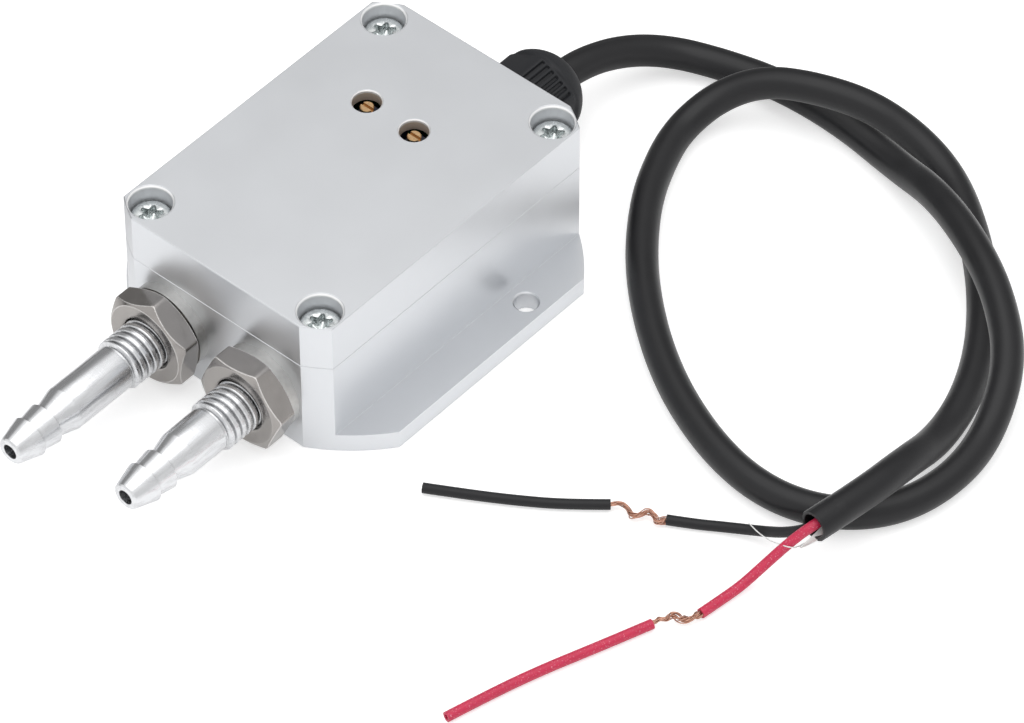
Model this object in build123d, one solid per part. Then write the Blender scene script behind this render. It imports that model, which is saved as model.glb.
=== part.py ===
"""Wind pressure transmitter: machined aluminium housing, two barbed hose fittings, gland and cable.

Units are millimetres. The origin is the centre of the underside and +Z is up. +Y points out of
the cable gland, the two hose fittings stand on the opposite end, and +X is across the housing.
"""

import math
import os

from build123d import *

# Housing. Lid, base and flange share one plan: a rectangle whose corners lie on one circle.
BODY_WIDTH = 49.6
BODY_LENGTH = 72.0
BASE_HEIGHT = 20.8
LID_HEIGHT = 10.0
CORNER_RIM = 4.35
FLANGE_EAR = 8.0
FLANGE_THICKNESS = 3.9
TOP_BREAK = 0.15
SEAM_BREAK = 0.12
SIDE_WALL = 4.8
END_WALL = 9.0
FLOOR = 3.0
LID_SKIN = 2.4
CAVITY_CORNER = 6.2

# Mounting holes, one in each ear, point symmetric about the axis.
MOUNT_HOLE = 4.5
MOUNT_HOLE_FROM_SIDE = 4.0
MOUNT_HOLE_Y = 13.7
MOUNT_HOLE_BREAK = 0.25

# Lid screws, M4 with a six lobe socket, sunk in counterbores.
SCREW_FROM_SIDE = 4.65
SCREW_FROM_END = 5.2
SCREW_SHANK = 4.0
SCREW_HEAD = 7.5
SCREW_HEAD_HEIGHT = 4.0
SCREW_HEAD_BREAK = 0.35
SCREW_SUNK = 3.0
SCREW_GRIP = 9.0
COUNTERBORE = 8.0
COUNTERBORE_BREAK = 0.35
SCREW_HOLE_PLAY = 0.25
THREAD_PLAY = 0.05
THREAD_END_ROOM = 1.0
SOCKET_CORE = 1.45
SOCKET_LOBE = 0.42
SOCKET_LOBE_AT = 1.5
SOCKET_DEPTH = 2.2
SOCKET_LOBES = 6

# Lid seal, a cord pressed flat in a groove round the cavity.
GASKET_LAND = 1.2
GASKET_WIDTH = 1.6
GASKET_DEPTH = 1.2

# Trimmer access holes in the lid, and the trimmers under them.
ACCESS_HOLE = 5.5
ACCESS_HOLE_BREAK = 0.2
TRIMMER_X = (-8.3, 3.0)
TRIMMER_Y = 13.0
TRIMMER_LENGTH = 9.5
TRIMMER_WIDTH = 4.8
TRIMMER_HEIGHT = 10.0
TRIMMER_BREAK = 0.4
TRIMMER_SCREW_FROM_END = 1.9
TRIMMER_LID_GAP = 0.4
TRIMMER_SCREW = 2.6
TRIMMER_SCREW_SUNK = 1.2
TRIMMER_SCREW_HOLD = 3.0
TRIMMER_SCREW_BREAK = 0.15
TRIMMER_SLOT_WIDTH = 0.6
TRIMMER_SLOT_DEPTH = 0.7
TURNING_PLAY = 0.05
END_PLAY = 0.1

# Circuit board on four posts.
BOARD_THICKNESS = 1.6
BOARD_PLAY = 0.4
POST_FROM_WALL = 3.2
POST_FROM_END = 12.0
POST = 6.8
BOARD_SCREW = 2.5
BOARD_SCREW_HEAD = 4.5
BOARD_SCREW_HEAD_HEIGHT = 1.7
BOARD_SCREW_GRIP = 6.0
BOARD_SLOT_WIDTH = 0.7
BOARD_SLOT_DEPTH = 0.8

# Ports: the fittings and the gland sit on one height.
PORT_HEIGHT = 10.3
FITTING_SPACING = 22.5

# Hose fittings, M10 thread with two barbs. The shank of the second one is shorter.
FITTING_THREAD = 10.0
THREAD_BREAK = 0.6
THREAD_PROUD = 14.7
RELIEF_WIDTH = 0.9
RELIEF = 8.2
SHANK = 8.7
SHANK_LENGTHS = (13.0, 7.6)
NECK_LENGTH = 4.6
NECK = 6.2
REAR_BARB = 8.1
REAR_BARB_LENGTH = 4.1
REAR_BARB_NOSE = 6.8
FRONT_BARB = 8.0
FRONT_BARB_LENGTH = 4.6
FRONT_BARB_NOSE = 5.4
TIP_BREAK = 0.3
FITTING_BORE = 2.95
STUB = 3.2
STUB_LENGTH = 3.0
STUB_BORE = 2.0

# Lock nuts and the seal washers behind them.
WASHER_THICKNESS = 2.0
WASHER = 17.0
WASHER_HOLE = 11.0
WASHER_SHIFT = 0.3
NUT_FLATS = 17.0
NUT_THICKNESS = 5.0
NUT_BREAK = 0.8
NUT_FACE = 16.2
NUT_TURNS = (21.5, 7.0)

# Pressure sensor under the board, and the hoses to it.
SENSOR_LENGTH = 12.0
SENSOR_WIDTH = 16.0
SENSOR_HEIGHT = 9.0
SENSOR_Y = 0.0
SENSOR_BREAK = 0.6
SENSOR_PORT_SPACING = 8.0
SENSOR_PORT_LENGTH = 3.0
HOSE_WALL = 0.8
HOSE_STRAIGHT = 6.0
HOSE_SEAT_GAP = 0.2

# Cable gland: body, seal ring, clamping insert and grooved dome nut.
GLAND_THREAD = 12.0
GLAND_THREAD_LENGTH = 8.0
GLAND_FLATS = 16.0
GLAND_HEX_LENGTH = 5.0
GLAND_HEX_BREAK = 0.5
GLAND_NECK = 11.4
GLAND_NECK_LENGTH = 9.5
GLAND_TURN = -2.0
CORNER_FROM_FLAT = 30.0
GLAND_BORE_PLAY = 0.3
O_RING_OUTER = 15.2
O_RING_WIDTH = 1.4
O_RING_THICKNESS = 1.2
INSERT_LENGTH = 9.0
INSERT_WALL = 1.7
INSERT_SLOTS = 8
INSERT_SLOT_WIDTH = 0.8
INSERT_SLOT_LENGTH = 5.0
DOME_FLATS = 16.2
DOME_HEX_LENGTH = 10.5
DOME_HEX_BREAK = 0.5
DOME_COLLAR = 17.0
DOME_COLLAR_LENGTH = 0.5
DOME_NOSE_LENGTH = 4.6
DOME_NOSE = 8.6
DOME_MIDDLE_OUT = 0.68
DOME_MIDDLE_ALONG = 0.52
DOME_ROOF = 4.8
DOME_HOLE_PLAY = 0.4
GRIP_GROOVES = 7
GRIP_PITCH = 1.28
GRIP_WIDTH = 0.6
GRIP_DEPTH = 0.3
GRIP_LENGTH = 9.2

# Cable and its cut back end.
CABLE = 6.0
JACKET_BORE = 4.4
JACKET_END_DEPTH = 4.6
CABLE_INSIDE = 3.0
CABLE_JOINT = 0.5
BLACK_CORE = 1.8
RED_CORE = 1.9
CONDUCTOR = 1.1
SLEEVE_BORE = 1.0
SLEEVE_END_DEPTH = 2.5
LEAD_SPACING = 2.4
LEAD_RISE_Y = 5.0
ARC_SHARE = 0.45

# Values that follow from the sizes above.
half_length = BODY_LENGTH / 2
screw_x = BODY_WIDTH / 2 - SCREW_FROM_SIDE
screw_y = half_length - SCREW_FROM_END
corner_radius = math.hypot(screw_x, screw_y) + CORNER_RIM
flange_width = BODY_WIDTH + 2 * FLANGE_EAR
mount_x = BODY_WIDTH / 2 + MOUNT_HOLE_FROM_SIDE
total_height = BASE_HEIGHT + LID_HEIGHT
cavity_width = BODY_WIDTH - 2 * SIDE_WALL
cavity_length = BODY_LENGTH - 2 * END_WALL
pocket_roof = total_height - LID_SKIN
head_seat = total_height - SCREW_SUNK - SCREW_HEAD_HEIGHT
screw_end = BASE_HEIGHT - SCREW_GRIP
trimmer_top = pocket_roof - TRIMMER_LID_GAP
board_top = trimmer_top - TRIMMER_HEIGHT
board_bottom = board_top - BOARD_THICKNESS
post_x = cavity_width / 2 - POST_FROM_WALL
post_y = cavity_length / 2 - POST_FROM_END
inner_front = END_WALL - half_length
inner_rear = half_length - END_WALL
washer_face = half_length + WASHER_THICKNESS
hex_front = half_length + GLAND_HEX_LENGTH
dome_hex_end = hex_front + DOME_HEX_LENGTH
dome_end = dome_hex_end + DOME_COLLAR_LENGTH + DOME_NOSE_LENGTH
insert_front = dome_end - DOME_ROOF
insert_back = insert_front - INSERT_LENGTH
fitting_xs = (-FITTING_SPACING / 2, FITTING_SPACING / 2)
cable_start = insert_back + CABLE_JOINT

# The cable lies in one and a half turns. It crosses its first run twice and its last once.
CABLE_ROUTE = [
    (0, cable_start, PORT_HEIGHT),
    (0, 53, PORT_HEIGHT),
    (0.4, 62, 10.0),
    (2.4, 71.5, 7.4),
    (6.8, 79.2, 4.4),
    (15.0, 83.9, 3.0),
    (27, 87.0, 3.0),
    (42, 87.2, 3.0),
    (57, 84.4, 3.4),
    (70, 79.4, 8.4),
    (83, 73.0, 10.4),
    (95, 65.8, 10.0),
    (105.5, 56.2, 7.6),
    (111.2, 43.2, 3.6),
    (112.8, 31, 3.0),
    (110, 19, 3.0),
    (102, 10.4, 3.0),
    (90, 6.8, 3.0),
    (75.5, 9.2, 3.0),
    (58, 17.4, 3.0),
    (40.8, 31.2, 3.0),
    (28.5, 46.5, 3.0),
    (22.4, 59.5, 3.0),
    (20.5, 68.0, 3.2),
    (22.6, 75.6, 6.0),
    (28.3, 80.9, 9.2),
    (36.8, 84.5, 10.4),
    (46.9, 88.1, 9.8),
    (55.8, 90.5, 6.0),
    (64.8, 89.3, 3.3),
    (74.4, 83.4, 3.0),
    (85.7, 73.4, 3.0),
    (95.7, 60.9, 3.0),
    (102.2, 48.6, 3.0),
    (105.2, 36.5, 3.3),
    (106.8, 24.5, 8.4),
    (106.4, 13.8, 10.2),
    (102.9, 3.6, 8.0),
]
BLACK_WIRE_ROUTE = [
    (104.0, 8.5, 8.1),
    (102.5, 3.9, 7.1),
    (99.4, 1.3, 4.2),
    (94.8, 0.5, 1.8),
    (88.6, -2.6, 0.9),
    (84.5, -5.3, 0.9),
    (80.3, -7.7, 0.9),
]
RED_WIRE_ROUTE = [
    (104.4, 7.9, 10.0),
    (102.8, 3.3, 9.0),
    (102.0, -1.2, 6.3),
    (101.1, -6.5, 3.0),
    (100.2, -11.6, 1.1),
    (99.4, -16.2, 0.95),
    (98.5, -20.5, 0.95),
]
BLACK_COPPER_ROUTE = [
    (80.3, -7.7, 0.9),
    (78.3, -8.2, 1.1),
    (76.5, -8.9, 1.2),
    (75.2, -10.1, 1.0),
    (73.4, -9.9, 0.8),
    (71.8, -10.2, 0.85),
    (70.3, -11.5, 0.9),
]
RED_COPPER_ROUTE = [
    (98.5, -20.5, 0.95),
    (97.5, -22.6, 1.1),
    (96.0, -24.2, 1.2),
    (94.8, -25.9, 1.1),
    (93.9, -28.1, 0.95),
]
BLACK_SLEEVE_ROUTE = [
    (70.3, -11.5, 0.9),
    (64.2, -16.8, 0.9),
    (57.5, -21.4, 0.9),
    (50.6, -25.7, 0.9),
    (43.4, -29.8, 0.9),
]
RED_SLEEVE_ROUTE = [
    (93.9, -28.1, 0.95),
    (89.9, -38.4, 0.95),
    (86.6, -47.1, 0.95),
    (83.6, -56.4, 0.95),
    (80.9, -66.8, 0.95),
]


def plan(width):
    """The housing's plan at one width: a rectangle cut to the circle of the corners."""
    return Rectangle(width, BODY_LENGTH) & Circle(corner_radius)


def upright(radius, bottom, top, x=0.0, y=0.0):
    """A round rod along Z."""
    return Pos(x, y, (bottom + top) / 2) * Cylinder(radius, top - bottom)


def lying(radius, start, end, x=0.0, z=0.0):
    """A round rod along Y."""
    return Pos(x, (start + end) / 2, z) * Rot(X=90) * Cylinder(radius, end - start)


def turned(profile, x=0.0, z=0.0):
    """A solid turned about a line along Y, from (radius, y) points."""
    face = make_face(Polyline(*profile, close=True))
    return Pos(x, 0, z) * revolve(face, Axis.Y)


def pocket(bottom, top, grow=0.0):
    """The rounded cavity, or the same plan a little larger or smaller."""
    shape = RectangleRounded(
        cavity_width + 2 * grow, cavity_length + 2 * grow, CAVITY_CORNER + grow
    )
    return Pos(0, 0, bottom) * extrude(shape, top - bottom)


def hexagon(flats, start, length, face_radius, edge_break, corner_turn):
    """A hexagon bar along Y, its ends cut to a cone, one corner turned up from +X."""
    corner = flats / math.sqrt(3)
    shape = Rot(Z=corner_turn) * RegularPolygon(flats / 2, 6, major_radius=False)
    bar = Pos(0, start + length, 0) * Rot(X=90) * extrude(shape, length)
    cone = turned([
        (0, start),
        (face_radius, start),
        (corner, start + edge_break),
        (corner, start + length - edge_break),
        (face_radius, start + length),
        (0, start + length),
    ])
    return bar & cone


def four(shape, x, y):
    """The same piece at the four corners of a rectangle."""
    places = [(x, y), (-x, y), (-x, -y), (x, -y)]
    return [Pos(px, py, 0) * shape for px, py in places]


def run_lengths(points):
    """Length of each run between two points of a route."""
    return [(Vector(*b) - Vector(*a)).length for a, b in zip(points, points[1:])]


def arc_radii(points):
    """Arcs as large as the runs allow at every inner point of a route."""
    runs = run_lengths(points)
    radii = []
    for i in range(1, len(points) - 1):
        before = Vector(*points[i]) - Vector(*points[i - 1])
        after = Vector(*points[i + 1]) - Vector(*points[i])
        half_turn = math.radians(before.get_angle(after)) / 2
        radii.append(ARC_SHARE * min(runs[i - 1], runs[i]) / math.tan(half_turn))
    return radii


def cord(name, points, diameter, hole=0.0):
    """A round tube along straight runs joined by tangent arcs."""
    radii = arc_radii(points)
    path = FilletPolyline(*points, radius=radii)
    section = Circle(diameter / 2)
    if hole:
        section = section - Circle(hole / 2)
    tube = sweep(Plane(path @ 0, z_dir=path % 0) * section, path=path)
    print(name, "length", round(path.length, 1), "radii", [round(r, 1) for r in radii])
    expected = section.area * path.length
    print(name, "volume", round(tube.volume, 1), "section times length", round(expected, 1))
    return tube


def end_hole(points, diameter, depth):
    """A round hole into the last end of a cord."""
    tip = Vector(*points[-1])
    back = (Vector(*points[-2]) - tip).normalized()
    place = Plane(tip, z_dir=back)
    return place * Pos(0, 0, depth / 2) * Cylinder(diameter / 2, depth)


def base_housing():
    """The milled block with its ears, cavity, posts, seal groove and threads."""
    block = extrude(plan(BODY_WIDTH), BASE_HEIGHT)
    block = chamfer(block.faces().sort_by(Axis.Z)[-1].edges(), SEAM_BREAK)
    block += extrude(plan(flange_width), FLANGE_THICKNESS)
    block -= pocket(FLOOR, BASE_HEIGHT)
    posts = four(upright(POST / 2, FLOOR, board_bottom), post_x, post_y)
    block += posts
    grip = board_bottom - BOARD_SCREW_GRIP - THREAD_END_ROOM
    block -= four(upright(BOARD_SCREW / 2 + THREAD_PLAY, grip, board_bottom), post_x, post_y)
    groove_bottom = BASE_HEIGHT - GASKET_DEPTH
    block -= gasket_ring(groove_bottom)
    tapped = upright(SCREW_SHANK / 2 + THREAD_PLAY, screw_end - THREAD_END_ROOM, BASE_HEIGHT)
    block -= four(tapped, screw_x, screw_y)
    for x in fitting_xs:
        thread = FITTING_THREAD / 2 + THREAD_PLAY
        block -= lying(thread, -half_length, inner_front, x, PORT_HEIGHT)
    block -= lying(GLAND_THREAD / 2 + THREAD_PLAY, inner_rear, half_length, 0, PORT_HEIGHT)
    for side in (1, -1):
        x = side * mount_x
        y = side * MOUNT_HOLE_Y
        block -= upright(MOUNT_HOLE / 2, 0, FLANGE_THICKNESS, x, y)
        mouth = Cone(
            MOUNT_HOLE / 2, MOUNT_HOLE / 2 + MOUNT_HOLE_BREAK, MOUNT_HOLE_BREAK
        )
        block -= Pos(x, y, FLANGE_THICKNESS - MOUNT_HOLE_BREAK / 2) * mouth
    return block


def gasket_ring(bottom):
    """The seal's ring, also the shape of its groove."""
    outer = pocket(bottom, bottom + GASKET_DEPTH, GASKET_LAND + GASKET_WIDTH)
    return outer - pocket(bottom, bottom + GASKET_DEPTH, GASKET_LAND)


def lid():
    """The cover: counterbores, access holes and a pocket from below."""
    block = Pos(0, 0, BASE_HEIGHT) * extrude(plan(BODY_WIDTH), LID_HEIGHT)
    block = chamfer(block.faces().sort_by(Axis.Z)[-1].edges(), TOP_BREAK)
    block = chamfer(block.faces().sort_by(Axis.Z)[0].edges(), SEAM_BREAK)
    block -= pocket(BASE_HEIGHT, pocket_roof)
    hole = upright(SCREW_SHANK / 2 + SCREW_HOLE_PLAY, BASE_HEIGHT, head_seat)
    hole += upright(COUNTERBORE / 2, head_seat, total_height)
    mouth = Cone(COUNTERBORE / 2, COUNTERBORE / 2 + COUNTERBORE_BREAK, COUNTERBORE_BREAK)
    hole += Pos(0, 0, total_height - COUNTERBORE_BREAK / 2) * mouth
    block -= four(hole, screw_x, screw_y)
    for x in TRIMMER_X:
        block -= upright(ACCESS_HOLE / 2, pocket_roof, total_height, x, TRIMMER_Y)
        mouth = Cone(
            ACCESS_HOLE / 2, ACCESS_HOLE / 2 + ACCESS_HOLE_BREAK, ACCESS_HOLE_BREAK
        )
        block -= Pos(x, TRIMMER_Y, total_height - ACCESS_HOLE_BREAK / 2) * mouth
    return block


def lid_screw():
    """One M4 cap screw in its place along Z."""
    top = head_seat + SCREW_HEAD_HEIGHT
    head = upright(SCREW_HEAD / 2, head_seat, top)
    head = chamfer(head.edges().sort_by(Axis.Z)[-1], SCREW_HEAD_BREAK)
    screw = head + upright(SCREW_SHANK / 2, screw_end, head_seat)
    screw -= upright(SOCKET_CORE, top - SOCKET_DEPTH, top)
    lobe = upright(SOCKET_LOBE, top - SOCKET_DEPTH, top, SOCKET_LOBE_AT)
    for i in range(SOCKET_LOBES):
        screw -= Rot(Z=i * 360 / SOCKET_LOBES) * lobe
    return screw


def circuit_board():
    """The board, cut to the cavity and drilled over the posts."""
    board = pocket(board_bottom, board_top, -BOARD_PLAY)
    hole = upright(BOARD_SCREW / 2 + SCREW_HOLE_PLAY, board_bottom, board_top)
    board -= four(hole, post_x, post_y)
    return board


def board_screw():
    """One slotted screw that holds the board on its post."""
    head_top = board_top + BOARD_SCREW_HEAD_HEIGHT
    screw = upright(BOARD_SCREW_HEAD / 2, board_top, head_top)
    screw += upright(BOARD_SCREW / 2, board_bottom - BOARD_SCREW_GRIP, board_top)
    slot = Box(BOARD_SCREW_HEAD, BOARD_SLOT_WIDTH, BOARD_SLOT_DEPTH)
    return screw - Pos(0, 0, head_top - BOARD_SLOT_DEPTH / 2) * slot


def trimmer_body(x):
    """The trimmer's case, standing on the board with the screw near one end."""
    centre = x + TRIMMER_LENGTH / 2 - TRIMMER_SCREW_FROM_END
    case = Box(TRIMMER_LENGTH, TRIMMER_WIDTH, TRIMMER_HEIGHT)
    case = Pos(centre, TRIMMER_Y, (board_top + trimmer_top) / 2) * case
    case = chamfer(case.faces().sort_by(Axis.Z)[-1].edges(), TRIMMER_BREAK)
    bore = TRIMMER_SCREW / 2 + TURNING_PLAY
    bottom = trimmer_top - TRIMMER_SCREW_HOLD - END_PLAY
    return case - upright(bore, bottom, trimmer_top, x, TRIMMER_Y)


def trimmer_screw(x):
    """The slotted brass screw that turns in the trimmer."""
    top = total_height - TRIMMER_SCREW_SUNK
    screw = upright(TRIMMER_SCREW / 2, trimmer_top - TRIMMER_SCREW_HOLD, top)
    screw = chamfer(screw.edges().sort_by(Axis.Z)[-1], TRIMMER_SCREW_BREAK)
    slot = Box(TRIMMER_SCREW, TRIMMER_SLOT_WIDTH, TRIMMER_SLOT_DEPTH)
    screw -= Pos(0, 0, top - TRIMMER_SLOT_DEPTH / 2) * slot
    return Pos(x, TRIMMER_Y, 0) * screw


def hose_fitting(x, shank_length):
    """A turned fitting: inner stub, thread, relief, shank and two barbs."""
    thread = FITTING_THREAD / 2
    thread_end = -half_length - THREAD_PROUD
    shank_end = thread_end - shank_length
    rear = shank_end - NECK_LENGTH
    front = rear - REAR_BARB_LENGTH
    tip = front - FRONT_BARB_LENGTH - TIP_BREAK
    profile = [
        (STUB_BORE / 2, inner_front + STUB_LENGTH),
        (STUB / 2, inner_front + STUB_LENGTH),
        (STUB / 2, inner_front),
        (thread - THREAD_BREAK, inner_front),
        (thread, inner_front - THREAD_BREAK),
        (thread, thread_end + RELIEF_WIDTH),
        (RELIEF / 2, thread_end + RELIEF_WIDTH),
        (RELIEF / 2, thread_end),
        (SHANK / 2, thread_end),
        (SHANK / 2, shank_end),
        (NECK / 2, rear),
        (REAR_BARB / 2, rear),
        (REAR_BARB_NOSE / 2, front),
        (FRONT_BARB / 2, front),
        (FRONT_BARB_NOSE / 2, tip + TIP_BREAK),
        (FRONT_BARB_NOSE / 2 - TIP_BREAK, tip),
        (FITTING_BORE / 2, tip),
        (FITTING_BORE / 2, inner_front),
        (STUB_BORE / 2, inner_front),
    ]
    return turned(profile, x, PORT_HEIGHT)


def lock_nut(x, corner_turn):
    """A thin hexagon nut, chamfered on both faces."""
    start = -washer_face - NUT_THICKNESS
    face = NUT_FACE / 2
    nut = hexagon(NUT_FLATS, start, NUT_THICKNESS, face, NUT_BREAK, corner_turn)
    nut -= lying(FITTING_THREAD / 2 + THREAD_PLAY, start, -washer_face)
    return Pos(x, 0, PORT_HEIGHT) * nut


def seal_washer(x, side):
    """A sealing ring behind a nut, a little off centre as clamped."""
    ring = lying(WASHER / 2, -washer_face, -half_length)
    ring -= lying(WASHER_HOLE / 2, -washer_face, -half_length)
    shift = side * WASHER_SHIFT
    return Pos(x + shift, 0, PORT_HEIGHT + shift) * ring


def pressure_sensor():
    """The sensor's case under the board, with two hose ports."""
    case = Box(SENSOR_WIDTH, SENSOR_LENGTH, SENSOR_HEIGHT)
    case = Pos(0, SENSOR_Y, board_bottom - SENSOR_HEIGHT / 2) * case
    case = chamfer(case.faces().sort_by(Axis.Z)[0].edges(), SENSOR_BREAK)
    face = SENSOR_Y - SENSOR_LENGTH / 2
    for side in (1, -1):
        x = side * SENSOR_PORT_SPACING / 2
        port = lying(STUB / 2, face - SENSOR_PORT_LENGTH, face, x, PORT_HEIGHT)
        port -= lying(STUB_BORE / 2, face - SENSOR_PORT_LENGTH, face, x, PORT_HEIGHT)
        case += port
    return case


def sensor_hose(side):
    """A short hose from a fitting's stub to the sensor's port on the same side."""
    face = SENSOR_Y - SENSOR_LENGTH / 2 - HOSE_SEAT_GAP
    start = inner_front + HOSE_SEAT_GAP
    outer_x = side * FITTING_SPACING / 2
    port_x = side * SENSOR_PORT_SPACING / 2
    points = [
        (outer_x, start, PORT_HEIGHT),
        (outer_x, start + HOSE_STRAIGHT, PORT_HEIGHT),
        (port_x, face - HOSE_STRAIGHT, PORT_HEIGHT),
        (port_x, face, PORT_HEIGHT),
    ]
    runs = run_lengths(points)
    turn = math.atan2(abs(outer_x - port_x), points[2][1] - points[1][1])
    radius = ARC_SHARE * min(runs[0], runs[1] / 2) / math.tan(turn / 2)
    path = FilletPolyline(*points, radius=radius)
    section = Circle(STUB / 2 + HOSE_WALL) - Circle(STUB / 2)
    return sweep(Plane(path @ 0, z_dir=path % 0) * section, path=path)


def gland_body():
    """The gland's body: wall thread, seal recess, hexagon and the neck for the dome nut."""
    face = GLAND_FLATS / 2
    body = hexagon(
        GLAND_FLATS, half_length, GLAND_HEX_LENGTH, face, GLAND_HEX_BREAK,
        CORNER_FROM_FLAT + GLAND_TURN,
    )
    body += lying(GLAND_THREAD / 2, half_length - GLAND_THREAD_LENGTH, half_length)
    body += lying(GLAND_NECK / 2, hex_front, hex_front + GLAND_NECK_LENGTH)
    recess = lying(O_RING_OUTER / 2, half_length, half_length + O_RING_THICKNESS)
    recess -= lying(O_RING_OUTER / 2 - O_RING_WIDTH, half_length, half_length + O_RING_THICKNESS)
    body -= recess
    through = CABLE / 2 + GLAND_BORE_PLAY
    body -= lying(through, half_length - GLAND_THREAD_LENGTH, insert_back)
    seat = CABLE / 2 + INSERT_WALL + THREAD_PLAY
    body -= lying(seat, insert_back, hex_front + GLAND_NECK_LENGTH)
    return Pos(0, 0, PORT_HEIGHT) * body


def gland_o_ring():
    """The seal between the gland's hexagon and the wall."""
    ring = lying(O_RING_OUTER / 2, half_length, half_length + O_RING_THICKNESS)
    ring -= lying(O_RING_OUTER / 2 - O_RING_WIDTH, half_length, half_length + O_RING_THICKNESS)
    return Pos(0, 0, PORT_HEIGHT) * ring


def gland_insert():
    """The clamping ring round the cable, slotted into fingers at its front."""
    ring = lying(CABLE / 2 + INSERT_WALL, insert_back, insert_front)
    ring -= lying(CABLE / 2, insert_back, insert_front)
    slot = Box(INSERT_SLOT_WIDTH, INSERT_SLOT_LENGTH, 2 * INSERT_WALL)
    out = CABLE / 2 + INSERT_WALL / 2
    slot = Pos(0, insert_front - INSERT_SLOT_LENGTH / 2, out) * slot
    for i in range(INSERT_SLOTS):
        ring -= Rot(Y=i * 360 / INSERT_SLOTS) * slot
    return Pos(0, 0, PORT_HEIGHT) * ring


def gland_nut():
    """The dome nut: a hexagon with grip grooves in its flats, and a round dome."""
    apothem = DOME_FLATS / 2
    corner_turn = CORNER_FROM_FLAT + GLAND_TURN
    nut = hexagon(
        DOME_FLATS, hex_front, DOME_HEX_LENGTH, apothem, DOME_HEX_BREAK, corner_turn
    )
    collar_end = dome_hex_end + DOME_COLLAR_LENGTH
    collar = DOME_COLLAR / 2
    nose = DOME_NOSE / 2
    middle = (
        nose + DOME_MIDDLE_OUT * (collar - nose),
        collar_end + DOME_MIDDLE_ALONG * DOME_NOSE_LENGTH,
    )
    back = hex_front + DOME_HEX_BREAK
    with BuildSketch() as profile:
        with BuildLine():
            Polyline(
                (0, back),
                (apothem, back),
                (apothem, dome_hex_end - DOME_HEX_BREAK),
                (collar, dome_hex_end),
                (collar, collar_end),
            )
            ThreePointArc((collar, collar_end), middle, (nose, dome_end))
            Polyline((nose, dome_end), (0, dome_end), (0, back))
        make_face()
    nut += revolve(profile.sketch, Axis.Y)
    groove = Box(GRIP_WIDTH, GRIP_LENGTH, 2 * GRIP_DEPTH)
    groove_middle = hex_front + DOME_HEX_BREAK + GRIP_LENGTH / 2
    for flat in range(6):
        turn = GLAND_TURN + 60 * flat
        for i in range(GRIP_GROOVES):
            across = (i - (GRIP_GROOVES - 1) / 2) * GRIP_PITCH
            nut -= Rot(Y=-turn) * Pos(apothem, groove_middle, across) * Rot(Y=90) * groove
    nut -= lying(GLAND_NECK / 2 + THREAD_PLAY, hex_front, insert_front)
    nut -= lying(CABLE / 2 + DOME_HOLE_PLAY, insert_front, dome_end)
    return Pos(0, 0, PORT_HEIGHT) * nut


def cable_jacket():
    """The free cable, with its open end."""
    jacket = cord("cable_jacket", CABLE_ROUTE, CABLE)
    return jacket - end_hole(CABLE_ROUTE, JACKET_BORE, JACKET_END_DEPTH)


def inner_leads():
    """The two cores inside the housing, from the cable's end up to the board."""
    start = inner_rear - CABLE_INSIDE
    leads = []
    for side in (1, -1):
        x = side * LEAD_SPACING / 2
        points = [
            (x, start, PORT_HEIGHT),
            (x, start - LEAD_RISE_Y / 2, PORT_HEIGHT),
            (x, start - LEAD_RISE_Y, PORT_HEIGHT + LEAD_RISE_Y / 2),
            (x, start - LEAD_RISE_Y, board_bottom),
        ]
        leads.append(cord("inner lead", points, BLACK_CORE))
    return leads


def sleeve(name, points, diameter):
    """A slipped length of core insulation with a hollow end."""
    return cord(name, points, diameter) - end_hole(points, SLEEVE_BORE, SLEEVE_END_DEPTH)


def build():
    """Every node of the part by name."""
    inner_end = inner_rear - CABLE_INSIDE
    nodes = {
        "base_housing": base_housing(),
        "lid": lid(),
        "lid_gasket": gasket_ring(BASE_HEIGHT - GASKET_DEPTH),
        "lid_screws": four(lid_screw(), screw_x, screw_y),
        "circuit_board": circuit_board(),
        "board_screws": four(board_screw(), post_x, post_y),
        "pressure_sensor": pressure_sensor(),
        "gland_body": gland_body(),
        "gland_o_ring": gland_o_ring(),
        "gland_insert": gland_insert(),
        "gland_nut": gland_nut(),
        "cable_inner": lying(CABLE / 2, inner_end, cable_start, 0, PORT_HEIGHT),
        "inner_leads": inner_leads(),
        "cable_jacket": cable_jacket(),
        "black_wire": cord("black_wire", BLACK_WIRE_ROUTE, BLACK_CORE),
        "red_wire": cord("red_wire", RED_WIRE_ROUTE, RED_CORE),
        "black_conductor": cord("black_conductor", BLACK_COPPER_ROUTE, CONDUCTOR),
        "red_conductor": cord("red_conductor", RED_COPPER_ROUTE, CONDUCTOR),
        "black_sleeve": sleeve("black_sleeve", BLACK_SLEEVE_ROUTE, BLACK_CORE),
        "red_sleeve": sleeve("red_sleeve", RED_SLEEVE_ROUTE, RED_CORE),
    }
    for i in range(2):
        number = str(i + 1)
        side = (1, -1)[i]
        x = fitting_xs[i]
        nodes["trimmer_body_" + number] = trimmer_body(TRIMMER_X[i])
        nodes["trimmer_screw_" + number] = trimmer_screw(TRIMMER_X[i])
        nodes["hose_fitting_" + number] = hose_fitting(x, SHANK_LENGTHS[i])
        nodes["lock_nut_" + number] = lock_nut(x, NUT_TURNS[i])
        nodes["seal_washer_" + number] = seal_washer(x, side)
        nodes["sensor_hose_" + number] = sensor_hose(-side)
    return nodes


os.makedirs("parts", exist_ok=True)
for node, shape in build().items():
    if isinstance(shape, list):
        shape = Compound(children=[Compound(s.solids()) for s in shape])
    export_step(shape, "parts/" + node + ".step")
    print(node, "volume", round(shape.volume, 1))
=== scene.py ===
"""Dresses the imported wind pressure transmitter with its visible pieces, materials and studio."""

import math
from functools import partial

import bpy
import numpy as np
from bpy.props import FloatProperty, FloatVectorProperty, IntProperty, PointerProperty
from bpy.types import Operator, Panel, PropertyGroup
from mathutils import Matrix


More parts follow.
